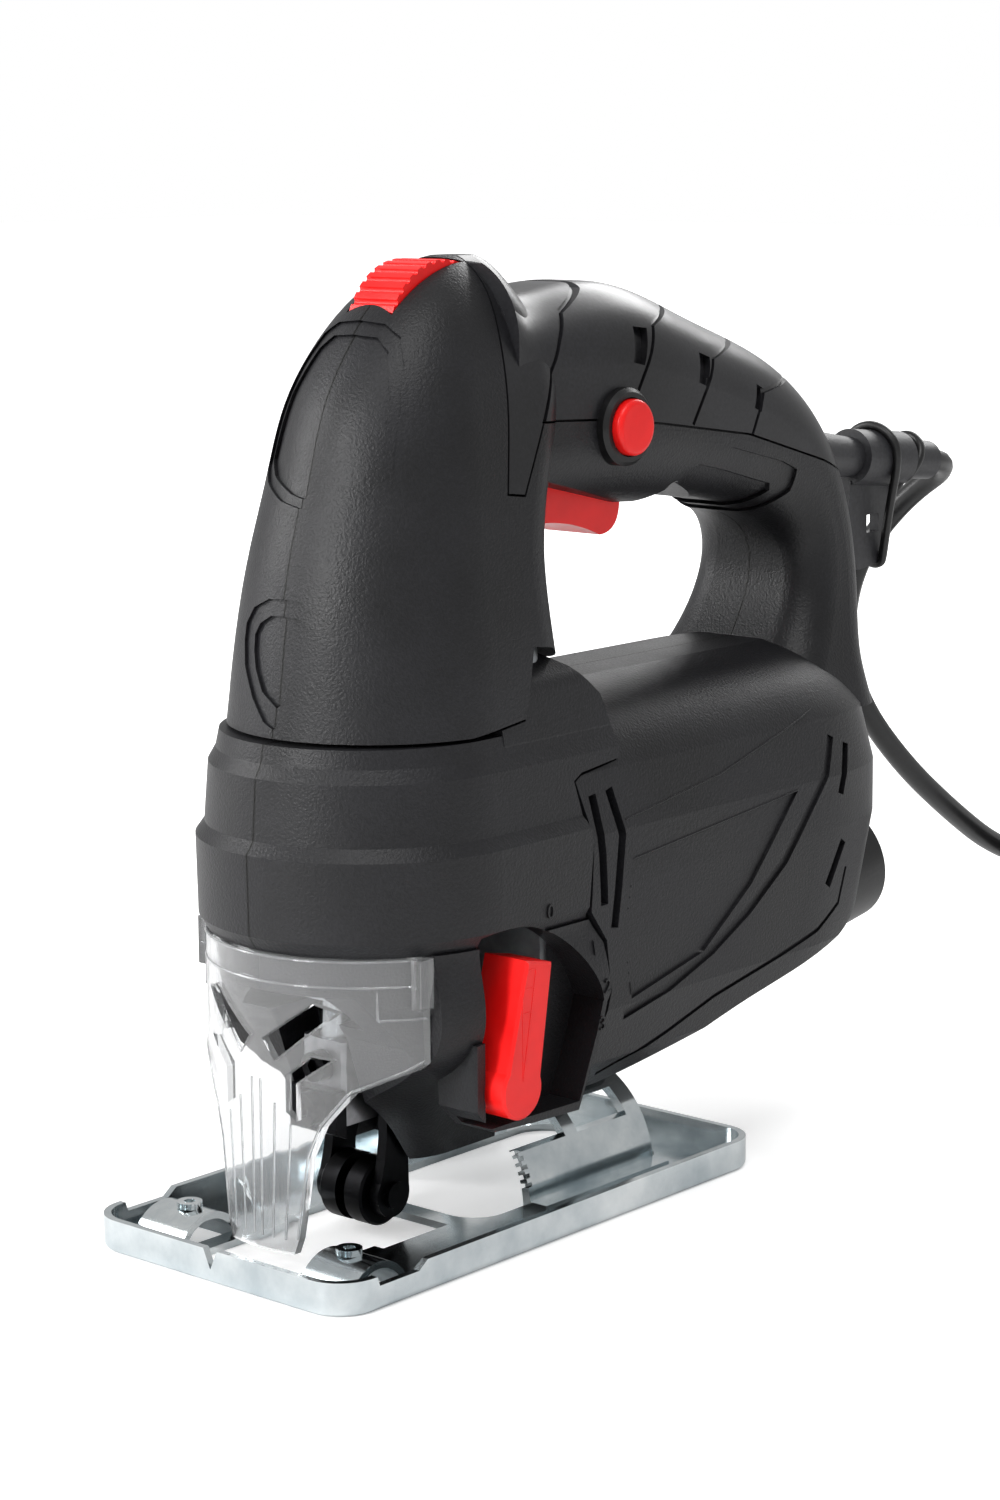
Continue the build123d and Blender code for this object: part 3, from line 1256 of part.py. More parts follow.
foot_reach = 27.0
tooth_count = 10
tooth_sweep = 50
tooth_reach = 1.3
with BuildPart() as tilt_cradle:
    with BuildSketch(front_plane(cradle_front)):
        with Locations((0, tilt_axis_z)):
            Circle(cradle_radius)
            Circle(cradle_radius - cradle_sheet, mode=Mode.SUBTRACT)
        with Locations((0, tilt_axis_z - 40)):
            Rectangle(80, 80, mode=Mode.SUBTRACT)
        for side in (1, -1):
            with Locations((side * (cradle_radius - 1 + foot_reach) / 2,
                            shoe_sheet + cradle_sheet / 2)):
                Rectangle(foot_reach - cradle_radius + 1, cradle_sheet)
    extrude(amount=-cradle_length)
    # teeth of the angle scale on the front edge
    with BuildSketch(front_plane(cradle_front)):
        with Locations((0, tilt_axis_z)):
            for start in (14, 166):
                with PolarLocations(cradle_radius - 1, tooth_count, start_angle=start,
                                    angular_range=(1 if start < 90 else -1) * tooth_sweep):
                    Rectangle(4, 1.0)
    extrude(amount=-tooth_reach, mode=Mode.SUBTRACT)
    # windows in both flanks and the cross slot for the clamping screw
    for side in (1, -1):
        for front, rear in ((cradle_front, -50), (-54, -71)):
            with BuildSketch(side_plane(side * 12)):
                with Locations(((front + rear) / 2, 16.5)):
                    Rectangle(abs(front - rear), 5.5)
            extrude(amount=-side * 12, mode=Mode.SUBTRACT)
    with BuildSketch(front_plane(clamp_x - clamp_screw_radius - 0.8)):
        with BuildLine():
            swing = radians(40)
            Polyline((0, tilt_axis_z), (40 * sin(swing), tilt_axis_z + 40 * cos(swing)),
                     (-40 * sin(swing), tilt_axis_z + 40 * cos(swing)), close=True)
        make_face()
    extrude(amount=2 * clamp_screw_radius + 1.6, mode=Mode.SUBTRACT)
print("cradle", tilt_cradle.part.is_valid, len(tilt_cradle.part.solids()))
save(tilt_cradle.part, "tilt_cradle")

clamp_outer = cradle_radius - cradle_sheet - tilt_clearance
with BuildPart() as tilt_clamp:
    with BuildSketch(front_plane(clamp_x + 10)):
        with Locations((0, tilt_axis_z)):
            Circle(clamp_outer)
            Circle(clamp_outer - 3, mode=Mode.SUBTRACT)
        with BuildLine():
            Polyline((0, tilt_axis_z), (20, tilt_axis_z + 40), (-20, tilt_axis_z + 40),
                     close=True)
        make_face(mode=Mode.INTERSECT)
    extrude(amount=-20)
    with BuildSketch(Plane.XY.offset(tilt_axis_z + clamp_outer - 7)):
        with Locations((clamp_x, 0)):
            Circle(4.5)
    extrude(amount=4.5)
    with BuildSketch(Plane.XY.offset(tilt_axis_z + clamp_outer - 4)):
        with Locations((clamp_x, 0)):
            Circle(clamp_screw_radius)
    extrude(amount=clamp_screw_top - tilt_axis_z - clamp_outer + 4)
print("clamp", tilt_clamp.part.is_valid, len(tilt_clamp.part.solids()))
save(tilt_clamp.part, "tilt_clamp")

# ---- screws that close the housing ----------------------------------------------------
with BuildPart() as housing_screws:
    for x, z in screw_points:
        add(cylinder_y(x, z, -screw_seat, screw_seat - 2, screw_radius))
        add(cylinder_y(x, z, -screw_seat - 2.4, -screw_seat, 2 * screw_radius))
        with BuildSketch(side_plane(-screw_seat - 2.4)):
            with Locations((x, z)):
                RegularPolygon(1.5, 6)
        extrude(amount=-1.4, mode=Mode.SUBTRACT)
save(housing_screws.part, "housing_screws")

# ---- supply cord ----------------------------------------------------------------------
cord_route = [sleeve_end, (-226.5, 0, 145.4714), (-229, -17, 135), (-226, -30, 118),
              (-226, -34, 98), (-232, -32, 79), (-248, -29, 61), (-270, -28, 45),
              (-295, -30, 31), (-318, -32.5, 24), (-340.4, -37.5, 21.5)]
tail_route = [(-374.5, -33, 3.2), (-390.3, -23.9, 3.3), (-406.8, -14, 5.2),
              (-425.3, -9.3, 9), (-443.3, -9.3, 10.1)]
coil_centre = (-352, 6)


def tube(route, name):
    """Round cord along straight runs joined by arcs as large as the runs allow."""
    points = [Vector(*point) for point in route]
    radii = []
    for before, corner, after in zip(points, points[1:], points[2:]):
        turn = (corner - before).get_angle(after - corner)
        run = min((corner - before).length, (after - corner).length)
        radii.append(0.45 * run / tan(radians(turn / 2)))
    print(name, "radii", [round(radius, 1) for radius in radii])
    with BuildPart() as cord:
        with BuildLine() as path:
            FilletPolyline(*points, radius=radii)
        with BuildSketch(Plane(origin=points[0], z_dir=path.line % 0)):
            Circle(cord_radius)
        sweep()
    section = pi * cord_radius ** 2
    length = sum(edge.length for edge in path.edges())
    print(name, "length", round(length, 1), "fill", cord.part.volume / (section * length))
    return cord.part


save(tube(cord_route, "supply_cord"), "supply_cord")
save(tube(tail_route, "cord_tail"), "cord_tail")

with BuildPart() as cord_coil:
    with BuildSketch(Plane.XY):
        with Locations(coil_centre):
            Circle(coil_outer)
            Circle(coil_inner, mode=Mode.SUBTRACT)
    extrude(amount=coil_height)
    fillet(cord_coil.edges(), cord_radius)
save(cord_coil.part, "cord_coil")

plug_back, plug_y, plug_z = tail_route[-1]
with BuildPart() as plug_body:
    for reach, wide, high in ((0, 10, 10), (8, 14, 12), (20, 30, 18), (34, 35, 20), (40, 35, 20)):
        with BuildSketch(Plane(origin=(plug_back - reach, plug_y, plug_z), x_dir=(0, 1, 0),
                               z_dir=(-1, 0, 0))):
            RectangleRounded(wide, high, high * 0.45)
    loft(ruled=True)
save(plug_body.part, "plug_body")

with BuildPart() as plug_pins:
    with BuildSketch(Plane(origin=(plug_back - 40, plug_y, plug_z), x_dir=(0, 1, 0),
                           z_dir=(-1, 0, 0))):
        with GridLocations(19, 1, 2, 1):
            Circle(2.4)
    extrude(amount=19)
    chamfer(plug_pins.edges().group_by(Axis.X)[0], 0.8)
save(plug_pins.part, "plug_pins")
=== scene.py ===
"""Corded jigsaw: finishes, cord and fine pieces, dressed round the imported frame."""
import json
from math import cos, radians, sin

import bmesh
import bpy
from mathutils import Matrix, Vector
from mathutils.bvhtree import BVHTree


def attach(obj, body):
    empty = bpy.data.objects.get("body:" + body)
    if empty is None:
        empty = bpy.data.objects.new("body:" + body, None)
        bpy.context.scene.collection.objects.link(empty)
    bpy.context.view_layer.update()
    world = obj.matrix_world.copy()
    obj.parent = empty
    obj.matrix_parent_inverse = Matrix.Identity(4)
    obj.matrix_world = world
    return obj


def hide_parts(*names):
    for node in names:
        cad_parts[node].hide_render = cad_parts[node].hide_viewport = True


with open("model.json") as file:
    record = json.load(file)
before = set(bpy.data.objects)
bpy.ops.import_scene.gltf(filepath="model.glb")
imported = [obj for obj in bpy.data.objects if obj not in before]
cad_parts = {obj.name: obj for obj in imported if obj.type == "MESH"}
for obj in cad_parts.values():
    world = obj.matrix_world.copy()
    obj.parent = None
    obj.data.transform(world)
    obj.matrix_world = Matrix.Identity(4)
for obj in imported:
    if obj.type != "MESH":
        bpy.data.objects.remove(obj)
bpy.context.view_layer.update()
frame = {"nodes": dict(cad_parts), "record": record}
nodes = frame["nodes"]
MM = 0.001


# ---- camera and lamps -----------------------------------------------------------------
# Lengths in this section are in metres.
def aim(azimuth, elevation, roll):
    """Rotation of a camera that stands at that azimuth and elevation and looks back."""
    a, e, r = radians(azimuth), radians(elevation), radians(roll)
    back = Vector((sin(a) * cos(e), -cos(a) * cos(e), sin(e)))
    right = (-back).cross(Vector((0, 0, 1))).normalized()
    up = right.cross(-back)
    side = cos(r) * right + sin(r) * up
    top = -sin(r) * right + cos(r) * up
    return Matrix((side, top, back)).transposed()


def camera():
    """Upright picture from low on the tool's left front, through a long lens."""
    place = (0.48649, 0.46758, 0.22880)
    azimuth, elevation, roll = 131.03, 10.52, -0.33
    data = bpy.data.cameras.new("camera")
    data.sensor_fit = "VERTICAL"
    data.sensor_height = 36
    data.lens = 80.43
    data.clip_end = 20
    obj = bpy.data.objects.new("camera", data)
    bpy.context.scene.collection.objects.link(obj)
    obj.matrix_world = Matrix.Translation(place) @ aim(azimuth, elevation, roll).to_4x4()
    bpy.context.scene.camera = obj


def lamp(name, place, size, power):
    """Soft white lamp, its power in watts, that faces the tool's middle."""
    middle = Vector((-0.06, 0, 0.1))
    data = bpy.data.lights.new(name, "AREA")
    data.shape = "RECTANGLE"
    data.size, data.size_y = size
    data.energy = power
    obj = bpy.data.objects.new(name, data)
    bpy.context.scene.collection.objects.link(obj)
    turn = (middle - Vector(place)).to_track_quat("-Z", "Y")
    obj.matrix_world = Matrix.Translation(place) @ turn.to_matrix().to_4x4()


# ---- material tools -------------------------------------------------------------------
def colour(code):
    """Linear colour from an sRGB hex value."""
    parts = [int(code[i:i + 2], 16) / 255 for i in (1, 3, 5)]
    return [c / 12.92 if c <= 0.04045 else ((c + 0.055) / 1.055) ** 2.4 for c in parts] + [1]


def add(tree, kind, inputs=(), into=(), **settings):
    """Adds a node: inputs maps its sockets to values or sockets, into lists (output, socket)."""
    made = tree.nodes.new(kind)
    for name, value in settings.items():
        setattr(made, name, value)
    for key, value in dict(inputs).items():
        if isinstance(value, bpy.types.NodeSocket):
            tree.links.new(value, made.inputs[key])
        else:
            made.inputs[key].default_value = value
    for output, socket in into:
        tree.links.new(made.outputs[output], socket)
    return made


def material(name):
    """New material with its tree, its shader and a point in Object coordinates."""
    made = bpy.data.materials.new(name)
    made.use_nodes = True
    tree = made.node_tree
    shader = tree.nodes["Principled BSDF"]
    place = add(tree, "ShaderNodeTexCoord").outputs["Object"]
    return made, tree, shader, place


def per_mm(size):
    """Texture scale at which one feature is that many millimetres across."""
    return 1000 / size


def moulded(name, dark, light, rough, grain, depth, gloss=0.5, seam=False):
    """Plastic from an etched mould: a fine grain, and a sheen and shade that vary a little.

    grain and depth are the etching's pitch and relief in millimetres, both drawn coarser
    than the real ones, since a pitch of 0.3 mm is too fine to show. With seam, the parting
    line on the middle plane shows as a thin dark line.
    """
    made, tree, shader, place = material(name)
    cloud = add(tree, "ShaderNodeTexNoise", {"Vector": place, "Scale": per_mm(22), "Detail": 4})
    fine = add(tree, "ShaderNodeTexNoise", {"Vector": place, "Scale": per_mm(grain),
                                            "Detail": 2, "Roughness": 0.6})
    share = add(tree, "ShaderNodeMapRange", {"Value": cloud.outputs["Fac"], "From Min": 0.35,
                                             "From Max": 0.68}).outputs["Result"]
    shade = add(tree, "ShaderNodeMix", {0: share, 6: colour(dark), 7: colour(light)},
                data_type="RGBA").outputs[2]
    # the grain's peaks are painted lighter and its hollows darker, following the bump: a painted
    # glint and painted shade
    grain_glint_and_shade = add(tree, "ShaderNodeMapRange", {"Value": fine.outputs["Fac"], "From Min": 0.3,
                                             "From Max": 0.75, "To Min": 0.72, "To Max": 1.34})
    shade = add(tree, "ShaderNodeVectorMath", {0: shade, "Scale": grain_glint_and_shade.outputs["Result"]},
                operation="SCALE").outputs["Vector"]
    if seam:
        across = add(tree, "ShaderNodeSeparateXYZ", {"Vector": place}).outputs["Y"]
        off = add(tree, "ShaderNodeMath", {0: across}, operation="ABSOLUTE").outputs["Value"]
        clear = add(tree, "ShaderNodeMapRange", {"Value": off, "From Min": 0.3 * MM,
                                                 "From Max": 0.5 * MM}).outputs["Result"]
        shade = add(tree, "ShaderNodeMix", {0: clear, 6: colour("#040404"), 7: shade},
                    data_type="RGBA").outputs[2]
    tree.links.new(shade, shader.inputs["Base Color"])
    add(tree, "ShaderNodeMapRange", {"Value": cloud.outputs["Fac"], "From Min": 0.3,
                                     "From Max": 0.7, "To Min": rough - 0.04,
                                     "To Max": rough + 0.05},
        [("Result", shader.inputs["Roughness"])])
    add(tree, "ShaderNodeBump", {"Height": fine.outputs["Fac"], "Strength": 0.8,
                                 "Distance": depth * MM}, [("Normal", shader.inputs["Normal"])])
    shader.inputs["IOR"].default_value = 1.53
    shader.inputs["Specular IOR Level"].default_value = gloss
    return made


def plated(name, dark, light, rough, along=(1, 1, 1), stain=12, line=0.9):
    """Metal: cloudy patches in its skin, and faint lines left by its drawing or grinding.

    stain and line are the size of the patches and the pitch of the lines in millimetres,
    and along stretches the lines: the smaller its number on an axis, the longer they are.
    """
    made, tree, shader, place = material(name)
    cloud = add(tree, "ShaderNodeTexNoise", {"Vector": place, "Scale": per_mm(stain), "Detail": 6,
                                             "Roughness": 0.6})
    stretched = add(tree, "ShaderNodeMapping", {"Vector": place, "Scale": along})
    lines = add(tree, "ShaderNodeTexNoise", {"Vector": stretched.outputs["Vector"],
                                             "Scale": per_mm(line), "Detail": 3})
    share = add(tree, "ShaderNodeMapRange", {"Value": cloud.outputs["Fac"], "From Min": 0.32,
                                             "From Max": 0.68}).outputs["Result"]
    add(tree, "ShaderNodeMix", {0: share, 6: colour(dark), 7: colour(light)},
        [(2, shader.inputs["Base Color"])], data_type="RGBA")
    add(tree, "ShaderNodeMapRange", {"Value": cloud.outputs["Fac"], "From Min": 0.3,
                                     "From Max": 0.7, "To Min": rough * 1.35,
                                     "To Max": rough * 0.7},
        [("Result", shader.inputs["Roughness"])])
    add(tree, "ShaderNodeBump", {"Height": lines.outputs["Fac"], "Strength": 0.3,
                                 "Distance": 0.03 * MM}, [("Normal", shader.inputs["Normal"])])
    shader.inputs["Metallic"].default_value = 1
    return made


def clear_plastic():
    """Injection-moulded polycarbonate: clear, glossy, faintly milky, with slow flow waves."""
    made, tree, shader, place = material("clear polycarbonate")
    waves = add(tree, "ShaderNodeTexNoise", {"Vector": place, "Scale": per_mm(11), "Detail": 2})
    add(tree, "ShaderNodeBump", {"Height": waves.outputs["Fac"], "Strength": 0.35,
                                 "Distance": 0.5 * MM}, [("Normal", shader.inputs["Normal"])])
    add(tree, "ShaderNodeMapRange", {"Value": waves.outputs["Fac"], "From Min": 0.3,
                                     "From Max": 0.7, "To Min": 0.02, "To Max": 0.07},
        [("Result", shader.inputs["Roughness"])])
    shader.inputs["Base Color"].default_value = colour("#fbfcfd")
    shader.inputs["IOR"].default_value = 1.5
    shader.inputs["Specular IOR Level"].default_value = 0.5
    shader.inputs["Transmission Weight"].default_value = 0.93
    return made


def red_plastic():
    """ABS coloured right through, semi-gloss, with a slow waviness from its mould."""
    made, tree, shader, place = material("red ABS")
    cloud = add(tree, "ShaderNodeTexNoise", {"Vector": place, "Scale": per_mm(9), "Detail": 3})
    fine = add(tree, "ShaderNodeTexNoise", {"Vector": place, "Scale": per_mm(0.8), "Detail": 2})
    share = add(tree, "ShaderNodeMapRange", {"Value": cloud.outputs["Fac"], "From Min": 0.3,
                                             "From Max": 0.7}).outputs["Result"]
    add(tree, "ShaderNodeMix", {0: share, 6: colour("#f01010"), 7: colour("#ff1c1a")},
        [(2, shader.inputs["Base Color"])], data_type="RGBA")
    add(tree, "ShaderNodeMapRange", {"Value": cloud.outputs["Fac"], "From Min": 0.3,
                                     "From Max": 0.7, "To Min": 0.28, "To Max": 0.4},
        [("Result", shader.inputs["Roughness"])])
    add(tree, "ShaderNodeBump", {"Height": fine.outputs["Fac"], "Strength": 0.25,
                                 "Distance": 0.02 * MM}, [("Normal", shader.inputs["Normal"])])
    shader.inputs["IOR"].default_value = 1.53
    shader.inputs["Specular IOR Level"].default_value = 0.36
    return made


finishes = {
    # matt from the etched mould, with a leathery grain that breaks up the highlights
    "charcoal_shell": moulded("charcoal ABS, etched", "#151517", "#1d1d20", 0.42, 0.6, 0.18,
                              0.32, seam=True),
    # a smoother mould than the shell's: a longer, softer highlight along the grip
    "grip_shell": moulded("charcoal ABS, satin", "#19191b", "#202023", 0.33, 0.8, 0.02, 0.36),
    # small moulded parts: nearly black, with a little gloss
    "black_plastic": moulded("black ABS", "#0f0f10", "#161617", 0.36, 0.8, 0.03, 0.38),
    "red_plastic": red_plastic(),
    "clear_plastic": clear_plastic(),
    # greyer and duller than the plastics
    "black_rubber": moulded("black rubber", "#28282b", "#323235", 0.5, 0.9, 0.04, 0.45),
    # extruded and supple: black, with a long even sheen
    "cord_jacket": moulded("PVC cord jacket", "#0e0e0f", "#151516", 0.38, 1.1, 0.02, 0.45),
    # bright, faintly blue, with clouds in the plating and the rolling lines along the shoe
    "zinc_steel": plated("zinc-plated steel", "#b4bfc4", "#e8edee", 0.15,
                         (0.12, 1, 1), stain=20, line=1.1),
    # oiled black oxide: dark, with a soft metal sheen
    "dark_steel": plated("blackened steel", "#0f0f10", "#1b1b1d", 0.34),
    # pressed from powder: grey, soft and finely mottled
    "satin_steel": plated("sintered steel", "#6f6f72", "#97979a", 0.36, stain=6),
    # ground bright, with a tight highlight
    "bearing_steel": plated("ground steel", "#8e9194", "#b4b7b9", 0.2),
    # thin sheets on edge: dark grey, lined across the stack
    "lamination": plated("stacked laminations", "#3c3d40", "#55565a", 0.4, (20, 1, 1)),
    # brown-red winding wire under clear enamel
    "copper": plated("enamelled copper", "#8a4a26", "#b86a3a", 0.3),
    # yellow and fairly bright, with drawing lines
    "brass_part": plated("drawn brass", "#94763a", "#b8974f", 0.3),
    # warm silver and glossy, as the pins of a plug are
    "nickel_brass": plated("nickel-plated brass", "#b6b2a8", "#d6d3ca", 0.18),
    # oil-soaked bushes: brown and dull
    "bronze": plated("sintered bronze", "#6e4b2a", "#8d6438", 0.45, stain=4),
    # pressed dust, dull and sooty
    "carbon": moulded("pressed carbon", "#0f0f10", "#17171a", 0.6, 0.5, 0.05),
    # cast skin: pale grey, matt and mottled
    "cast_aluminium": plated("die-cast aluminium", "#85888b", "#a8abad", 0.4, stain=7),
}


def dress_nodes():
    """Gives every CAD node the finish of its slot."""
    for entry in frame["record"]["subparts"]:
        for place in nodes[entry["node"]].material_slots:
            place.material = finishes[entry["material_slot"]]


# ---- piece tools ----------------------------------------------------------------------
def piece(name, data, body, slot):
    """New object of a mesh or curve, with its finish, riding on its body."""
    obj = bpy.data.objects.new(name, data)
    bpy.context.scene.collection.objects.link(obj)
    data.materials.append(finishes[slot])
    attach(obj, body)
    return obj


def tube(name, radius, rounding):
    """Curve data with a round section of that radius, in millimetres."""
    data = bpy.data.curves.new(name, "CURVE")
    data.dimensions = "3D"
    data.bevel_depth = radius * MM
    data.bevel_resolution = rounding
    return data


def line_through(data, kind, places):
    """Adds a spline of that kind with those points, in metres, to a curve."""
    line = data.splines.new(kind)
    line.points.add(len(places) - 1)
    for point, place in zip(line.points, places):
        point.co = (*place, 1)
    return line


# ---- cord -----------------------------------------------------------------------------
# Lengths from here to the stage are in millimetres. The free route ends at the coil.
cord_radius = 3.0
free_route = [(-213, 0, 146.8), (-226.5, 0, 145.47), (-229, -17, 135), (-226, -30, 118),
              (-226, -34, 98), (-232, -32, 79), (-248, -29, 61), (-270, -28, 45),
              (-295, -30, 31), (-318, -32.5, 24)]
tail_route = [(-374.5, -33, 3.2), (-390.3, -23.9, 3.3), (-406.8, -14, 5.2),
              (-425.3, -9.3, 9), (-443.3, -9.3, 10.1)]
coil_centre = (-352, 6)
coil_wide, coil_narrow = 45.0, 27.0      # radii of the outer and inner turns' middles
coil_layers = 4
coil_start = -75.0                       # degrees from forward to where the coil begins
top_turn = 21.5                          # height of the top layer's middle
layer_fall = 6.1                         # from one layer's middle to the next
falls_from = 0.94                        # share of a layer after which the cord drops
turns_each = 2.78125                     # turns in each layer
steps_per_turn = 16


def coil_points():
    """Turns wound clockwise from the outside in and out again, layer under layer."""
    points = []
    count = round(turns_each * steps_per_turn)
    for layer in range(coil_layers):
        for step in range(count):
            share = step / count
            inward = share if layer % 2 == 0 else 1 - share
            radius = coil_wide - (coil_wide - coil_narrow) * inward
            angle = radians(coil_start - 360 * turns_each * (layer + share))
            fall = 0
            if layer < coil_layers - 1:
                fall = max(0, (share - falls_from) / (1 - falls_from))
            height = top_turn - layer_fall * (layer + fall)
            points.append((coil_centre[0] + radius * cos(angle),
                           coil_centre[1] + radius * sin(angle), height))
    return points


def supply_cord():
    """One cord from the strain relief through the coil to the plug."""
    route = free_route + coil_points() + tail_route
    data = tube("supply_cord_line", cord_radius, 4)
    data.use_fill_caps = True
    data.resolution_u = 8
    line = line_through(data, "NURBS", [[c * MM for c in place] for place in route])
    line.order_u = 3
    line.use_endpoint_u = True
    obj = piece("supply_cord_line", data, "root", "cord_jacket")
    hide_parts("supply_cord", "cord_coil", "cord_tail")
    return obj


def cord_length(obj):
    """Length of the cord's middle line, in metres."""
    bare = obj.data.copy()
    bare.bevel_depth = 0
    probe = bpy.data.objects.new("probe", bare)
    mesh = bpy.data.meshes.new_from_object(probe)
    length = sum((mesh.vertices[e.vertices[0]].co - mesh.vertices[e.vertices[1]].co).length
                 for e in mesh.edges)
    bpy.data.objects.remove(probe)
    bpy.data.curves.remove(bare)
    bpy.data.meshes.remove(mesh)
    return length


# ---- fine pieces ----------------------------------------------------------------------
ahead, beside = 60, 70                   # clear of the tool's nose and of its left side
bead_step = 1.2                          # between the points of a bead


def skin(node):
    """Search tree of a CAD node's surface."""
    mesh = nodes[node].data
    return BVHTree.FromPolygons([v.co for v in mesh.vertices],
                                [tuple(face.vertices) for face in mesh.polygons])


def landed(tree, place, towards):
    """Where a line from a place, in millimetres, meets that surface, and its normal there."""
    spot, normal, _, _ = tree.ray_cast(Vector(place) * MM, Vector(towards))
    return spot, normal


def beads(name, node, lines, towards, thick, body, slot):
    """Fine raised lines moulded on a node: round beads that follow its surface, half sunk."""
    tree = skin(node)
    data = tube(name, thick / 2, 1)
    data.use_fill_caps = True
    for corners in lines:
        places = []
        for start, end in zip(corners, corners[1:]):
            start, end = Vector(start), Vector(end)
            count = max(1, round((end - start).length / bead_step))
            places += [start.lerp(end, i / count) for i in range(count)]
        places.append(Vector(corners[-1]))
        spots = [landed(tree, place, towards)[0] for place in places]
        spots = [spot for spot in spots if spot]
        if len(spots) > 1:
            line_through(data, "POLY", spots)
    piece(name, data, body, slot)


def from_front(lines):
    """Lines drawn in front of the tool as (y, z) pairs."""
    return [[(ahead, y, z) for y, z in line] for line in lines]


def from_left(lines):
    """Lines drawn beside the tool's left as (x, z) pairs."""
    return [[(x, beside, z) for x, z in line] for line in lines]


def guard_lines():
    """Beads of the guard: its rim, band, little window and the flutes of its tongue."""
    thick = 0.55
    half = [[(30.4, 65.8), (0, 65.8)], [(30.8, 60.6), (0, 60.6)],
            [(29.9, 45.0), (27.8, 43.1), (19.8, 38.9), (14.6, 31.7), (12.1, 25), (11.0, 17),
             (9.7, 7.5)],
            [(24.3, 59.6), (24.3, 53.8)], [(24.3, 53.8), (30.2, 53.8)],
            [(8.6, 31.5), (7.0, 7)], [(4.9, 35.5), (3.9, 7)], [(1.2, 40), (1.1, 7)]]
    both = half + [[(-y, z) for y, z in line] for line in half]
    beads("guard_lines", "blade_guard", from_front(both), (-1, 0, 0), thick, "guard",
          "clear_plastic")


def panel_lines():
    """Fine raised borders of the bare panel and the creases above it, on both sides."""
    thick = 0.45
    lines = from_left([[(-49.2, 61), (-52.5, 77.3), (-111.5, 83)], [(-51.6, 47), (-49.2, 61)],
                       [(-48, 85.6), (-84, 90.5), (-121, 99.5)],
                       [(-47.5, 112), (-84, 113.5), (-122, 117)]])
    mirrored = [[(x, -y, z) for x, y, z in line] for line in lines]
    beads("panel_lines_left", "housing_left", lines, (0, -1, 0), thick, "root",
          "charcoal_shell")
    beads("panel_lines_right", "housing_right", mirrored, (0, 1, 0), thick, "root",
          "charcoal_shell")


def lever_lines():
    """The thin moulded frame on the lever's face."""
    thick = 0.24
    lines = from_left([[(-15.6, 61.4), (-11.4, 61.4), (-11.4, 38.5), (-15.6, 61.4)],
                       [(-15.0, 57.6), (-11.4, 57.6)], [(-14.2, 52.6), (-11.4, 52.6)]])
    beads("lever_lines", "orbit_lever", lines, (0, -1, 0), thick, "orbit_lever",
          "red_plastic")


def selector_marks():
    """Raised figures 0 to 3 round the lever's sweep, each square to the skin under it."""
    high, proud = 4.4, 0.35
    tree = skin("front_cover_left")
    for figure, (x, z) in zip("0123", ((-24.8, 70.7), (-39.3, 60.2), (-42.6, 51.6),
                                      (-41.6, 43.6))):
        spot, normal = landed(tree, (x, beside, z), (0, -1, 0))
        data = bpy.data.curves.new("figure", "FONT")
        data.body = figure
        data.size = high * MM
        data.extrude = proud * MM
        data.align_x, data.align_y = "CENTER", "CENTER"
        text = bpy.data.objects.new("figure", data)
        mesh = bpy.data.meshes.new_from_object(text)
        bpy.data.objects.remove(text)
        bpy.data.curves.remove(data)
        outward = normal.normalized()
        across = Vector((0, 0, 1)).cross(outward).normalized()
        turn = Matrix((across, outward.cross(across), outward)).transposed()
        mesh.transform(Matrix.Translation(spot) @ turn.to_4x4())
        piece("selector_figure_" + figure, mesh, "root", "charcoal_shell")


def elastic_bands():
    """Two elastic bands that hold the key strap to the strain relief."""
    thick = 2.2
    axis_x, axis_z, axis_slope = -150, 153, 0.0984      # the strain relief's middle line
    corner_turn = 20                     # half the turn between a band's points over the top
    under = skin("key_strap")
    data = tube("elastic_bands", thick / 2, 3)
    # where a band crosses over the relief and under the strap, and the radius it lies on
    for over, below, radius in ((-189.0, -191.5, 6.8), (-205.0, -197.0, 4.9)):
        height = axis_z + axis_slope * (over - axis_x)
        low = landed(under, (below, 0, 60), (0, 0, 1))[0].z / MM - thick / 2
        # a NURBS line cuts inside its corners, so they stand a little off the relief
        reach = (radius + thick / 2) / cos(radians(corner_turn))
        half = [(reach * cos(radians(turn)), height + reach * sin(radians(turn)))
                for turn in (90, 50, 10)]
        # then down the side and in under the strap
        half += [(4.6, (height + low) / 2), (2.7, low + 3), (1.9, low - 0.2)]
        loop = half + [(-y, z) for y, z in reversed(half[1:])]
        top = height + reach
        places = [((over + (below - over) * (top - z) / (top - low)) * MM, y * MM, z * MM)
                  for y, z in loop]
        line = line_through(data, "NURBS", places)
        line.order_u = 3
        line.use_cyclic_u = True
        line.resolution_u = 8
    piece("elastic_bands", data, "root", "cord_jacket")


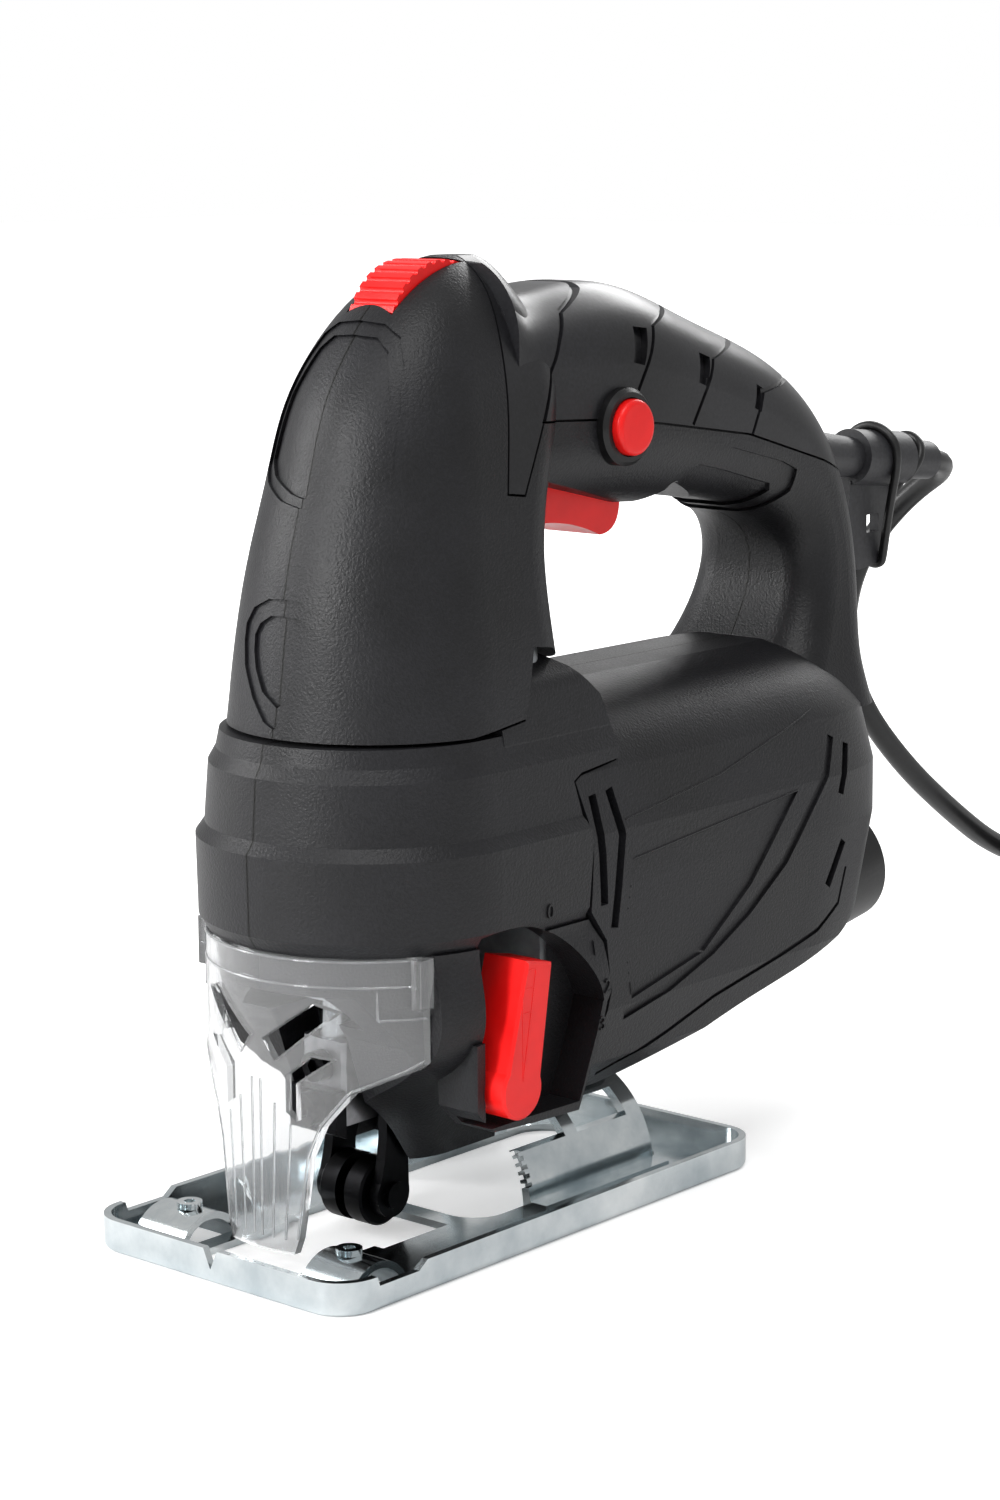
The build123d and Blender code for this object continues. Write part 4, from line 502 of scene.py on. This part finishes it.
def coil_tie():
    """Hook-and-loop strap drawn tight round the put-away coil, on the side towards the tool."""
    wide, thick, edge = 12, 0.8, 0.12
    # the loop, as distances out from the coil's middle and heights
    profile = [(27.5, 0.1), (45.5, 0.1), (46.9, 1.6), (47.1, 8.5), (46.2, 12.2), (43.9, 14.5),
               (43.7, 22.6), (42.6, 24.6), (41, 25), (32, 25), (30, 24.2), (26, 19.8),
               (23.6, 17.2), (23.5, 13.4), (26.2, 6.5), (26.3, 1.2)]
    upright = Matrix(((1, 0, 0), (0, 0, -1), (0, 1, 0)))
    shape = bmesh.new()
    ring = [shape.verts.new((u * MM, v * MM, -wide / 2 * MM)) for u, v in profile]
    edges = [shape.edges.new((a, b)) for a, b in zip(ring, ring[1:] + ring[:1])]
    made = bmesh.ops.extrude_edge_only(shape, edges=edges)["geom"]
    bmesh.ops.translate(shape, verts=[v for v in made if isinstance(v, bmesh.types.BMVert)],
                        vec=(0, 0, wide * MM))
    bmesh.ops.recalc_face_normals(shape, faces=shape.faces)
    bmesh.ops.solidify(shape, geom=shape.faces[:], thickness=thick * MM)
    bmesh.ops.transform(shape, verts=shape.verts,
                        matrix=Matrix.Translation(Vector((*coil_centre, 0)) * MM)
                        @ upright.to_4x4())
    bmesh.ops.recalc_face_normals(shape, faces=shape.faces)
    mesh = bpy.data.meshes.new("coil_tie")
    shape.to_mesh(mesh)
    shape.free()
    obj = piece("coil_tie", mesh, "root", "black_rubber")
    bevel = obj.modifiers.new("edges", "BEVEL")
    bevel.width = edge * MM
    bevel.segments = 2
    return obj


# ---- stage ----------------------------------------------------------------------------
# Lengths from here on are in metres.
def pale_floor():
    """Plain floor: pale, keeping the tool's shadow, and white to the camera farther off."""
    half_side = 6
    near_glow, near, far = 0.42, 0.25, 1.3      # it glows to the camera only, fully past far
    shape = bmesh.new()
    bmesh.ops.create_grid(shape, x_segments=1, y_segments=1, size=half_side)
    mesh = bpy.data.meshes.new("floor")
    shape.to_mesh(mesh)
    shape.free()
    floor = bpy.data.objects.new("floor", mesh)
    bpy.context.scene.collection.objects.link(floor)
    made, tree, shader, place = material("pale floor")
    shader.inputs["Base Color"].default_value = colour("#f2f2f2")
    shader.inputs["Roughness"].default_value = 0.7
    shader.inputs["Emission Color"].default_value = colour("#ffffff")
    ray = add(tree, "ShaderNodeLightPath")
    away = add(tree, "ShaderNodeVectorMath", {0: place}, operation="LENGTH").outputs["Value"]
    glow = add(tree, "ShaderNodeMapRange",
               {"Value": away, "From Min": near, "From Max": far, "To Min": near_glow,
                "To Max": 1.0}).outputs["Result"]
    add(tree, "ShaderNodeMath", {0: ray.outputs["Is Camera Ray"], 1: glow},
        [("Value", shader.inputs["Emission Strength"])], operation="MULTIPLY")
    mesh.materials.append(made)


def studio():
    """White room: full white to the camera and through the guard, dimmer as a light."""
    room_light, mirror_share = 0.45, 0.15       # mirror_share: how far gloss sees the white
    world = bpy.data.worlds.new("studio")
    world.use_nodes = True
    bpy.context.scene.world = world
    tree = world.node_tree
    back = tree.nodes["Background"]
    back.inputs["Color"].default_value = colour("#ffffff")
    ray = add(tree, "ShaderNodeLightPath")
    seen = add(tree, "ShaderNodeMath", {0: ray.outputs["Is Camera Ray"],
                                        1: ray.outputs["Is Transmission Ray"]},
               operation="MAXIMUM")
    mirrored = add(tree, "ShaderNodeMath", {0: ray.outputs["Is Glossy Ray"], 1: mirror_share},
                   operation="MULTIPLY")
    seen = add(tree, "ShaderNodeMath", {0: seen.outputs["Value"],
                                        1: mirrored.outputs["Value"]}, operation="MAXIMUM")
    add(tree, "ShaderNodeMapRange", {"Value": seen.outputs["Value"], "To Min": room_light,
                                     "To Max": 1.0}, [("Result", back.inputs["Strength"])])


def lamps():
    """Four soft lamps: on the nose, on the right edge, overhead, and from behind."""
    lamp("key", (1.72, -0.2, 0.8), (0.35, 0.8), 23)
    lamp("rim", (0.9, -1.55, 0.8), (0.5, 1.1), 18)
    lamp("over", (0.5, 0.5, 1.7), (0.8, 0.5), 10)
    lamp("back", (-1.45, -0.45, 1.0), (0.9, 0.6), 13)


camera()
bpy.context.scene.view_settings.view_transform = "Standard"
pale_floor()
studio()
lamps()
dress_nodes()
guard_lines()
panel_lines()
lever_lines()
selector_marks()
elastic_bands()
cord = supply_cord()
tie = coil_tie()
cord_length(cord)
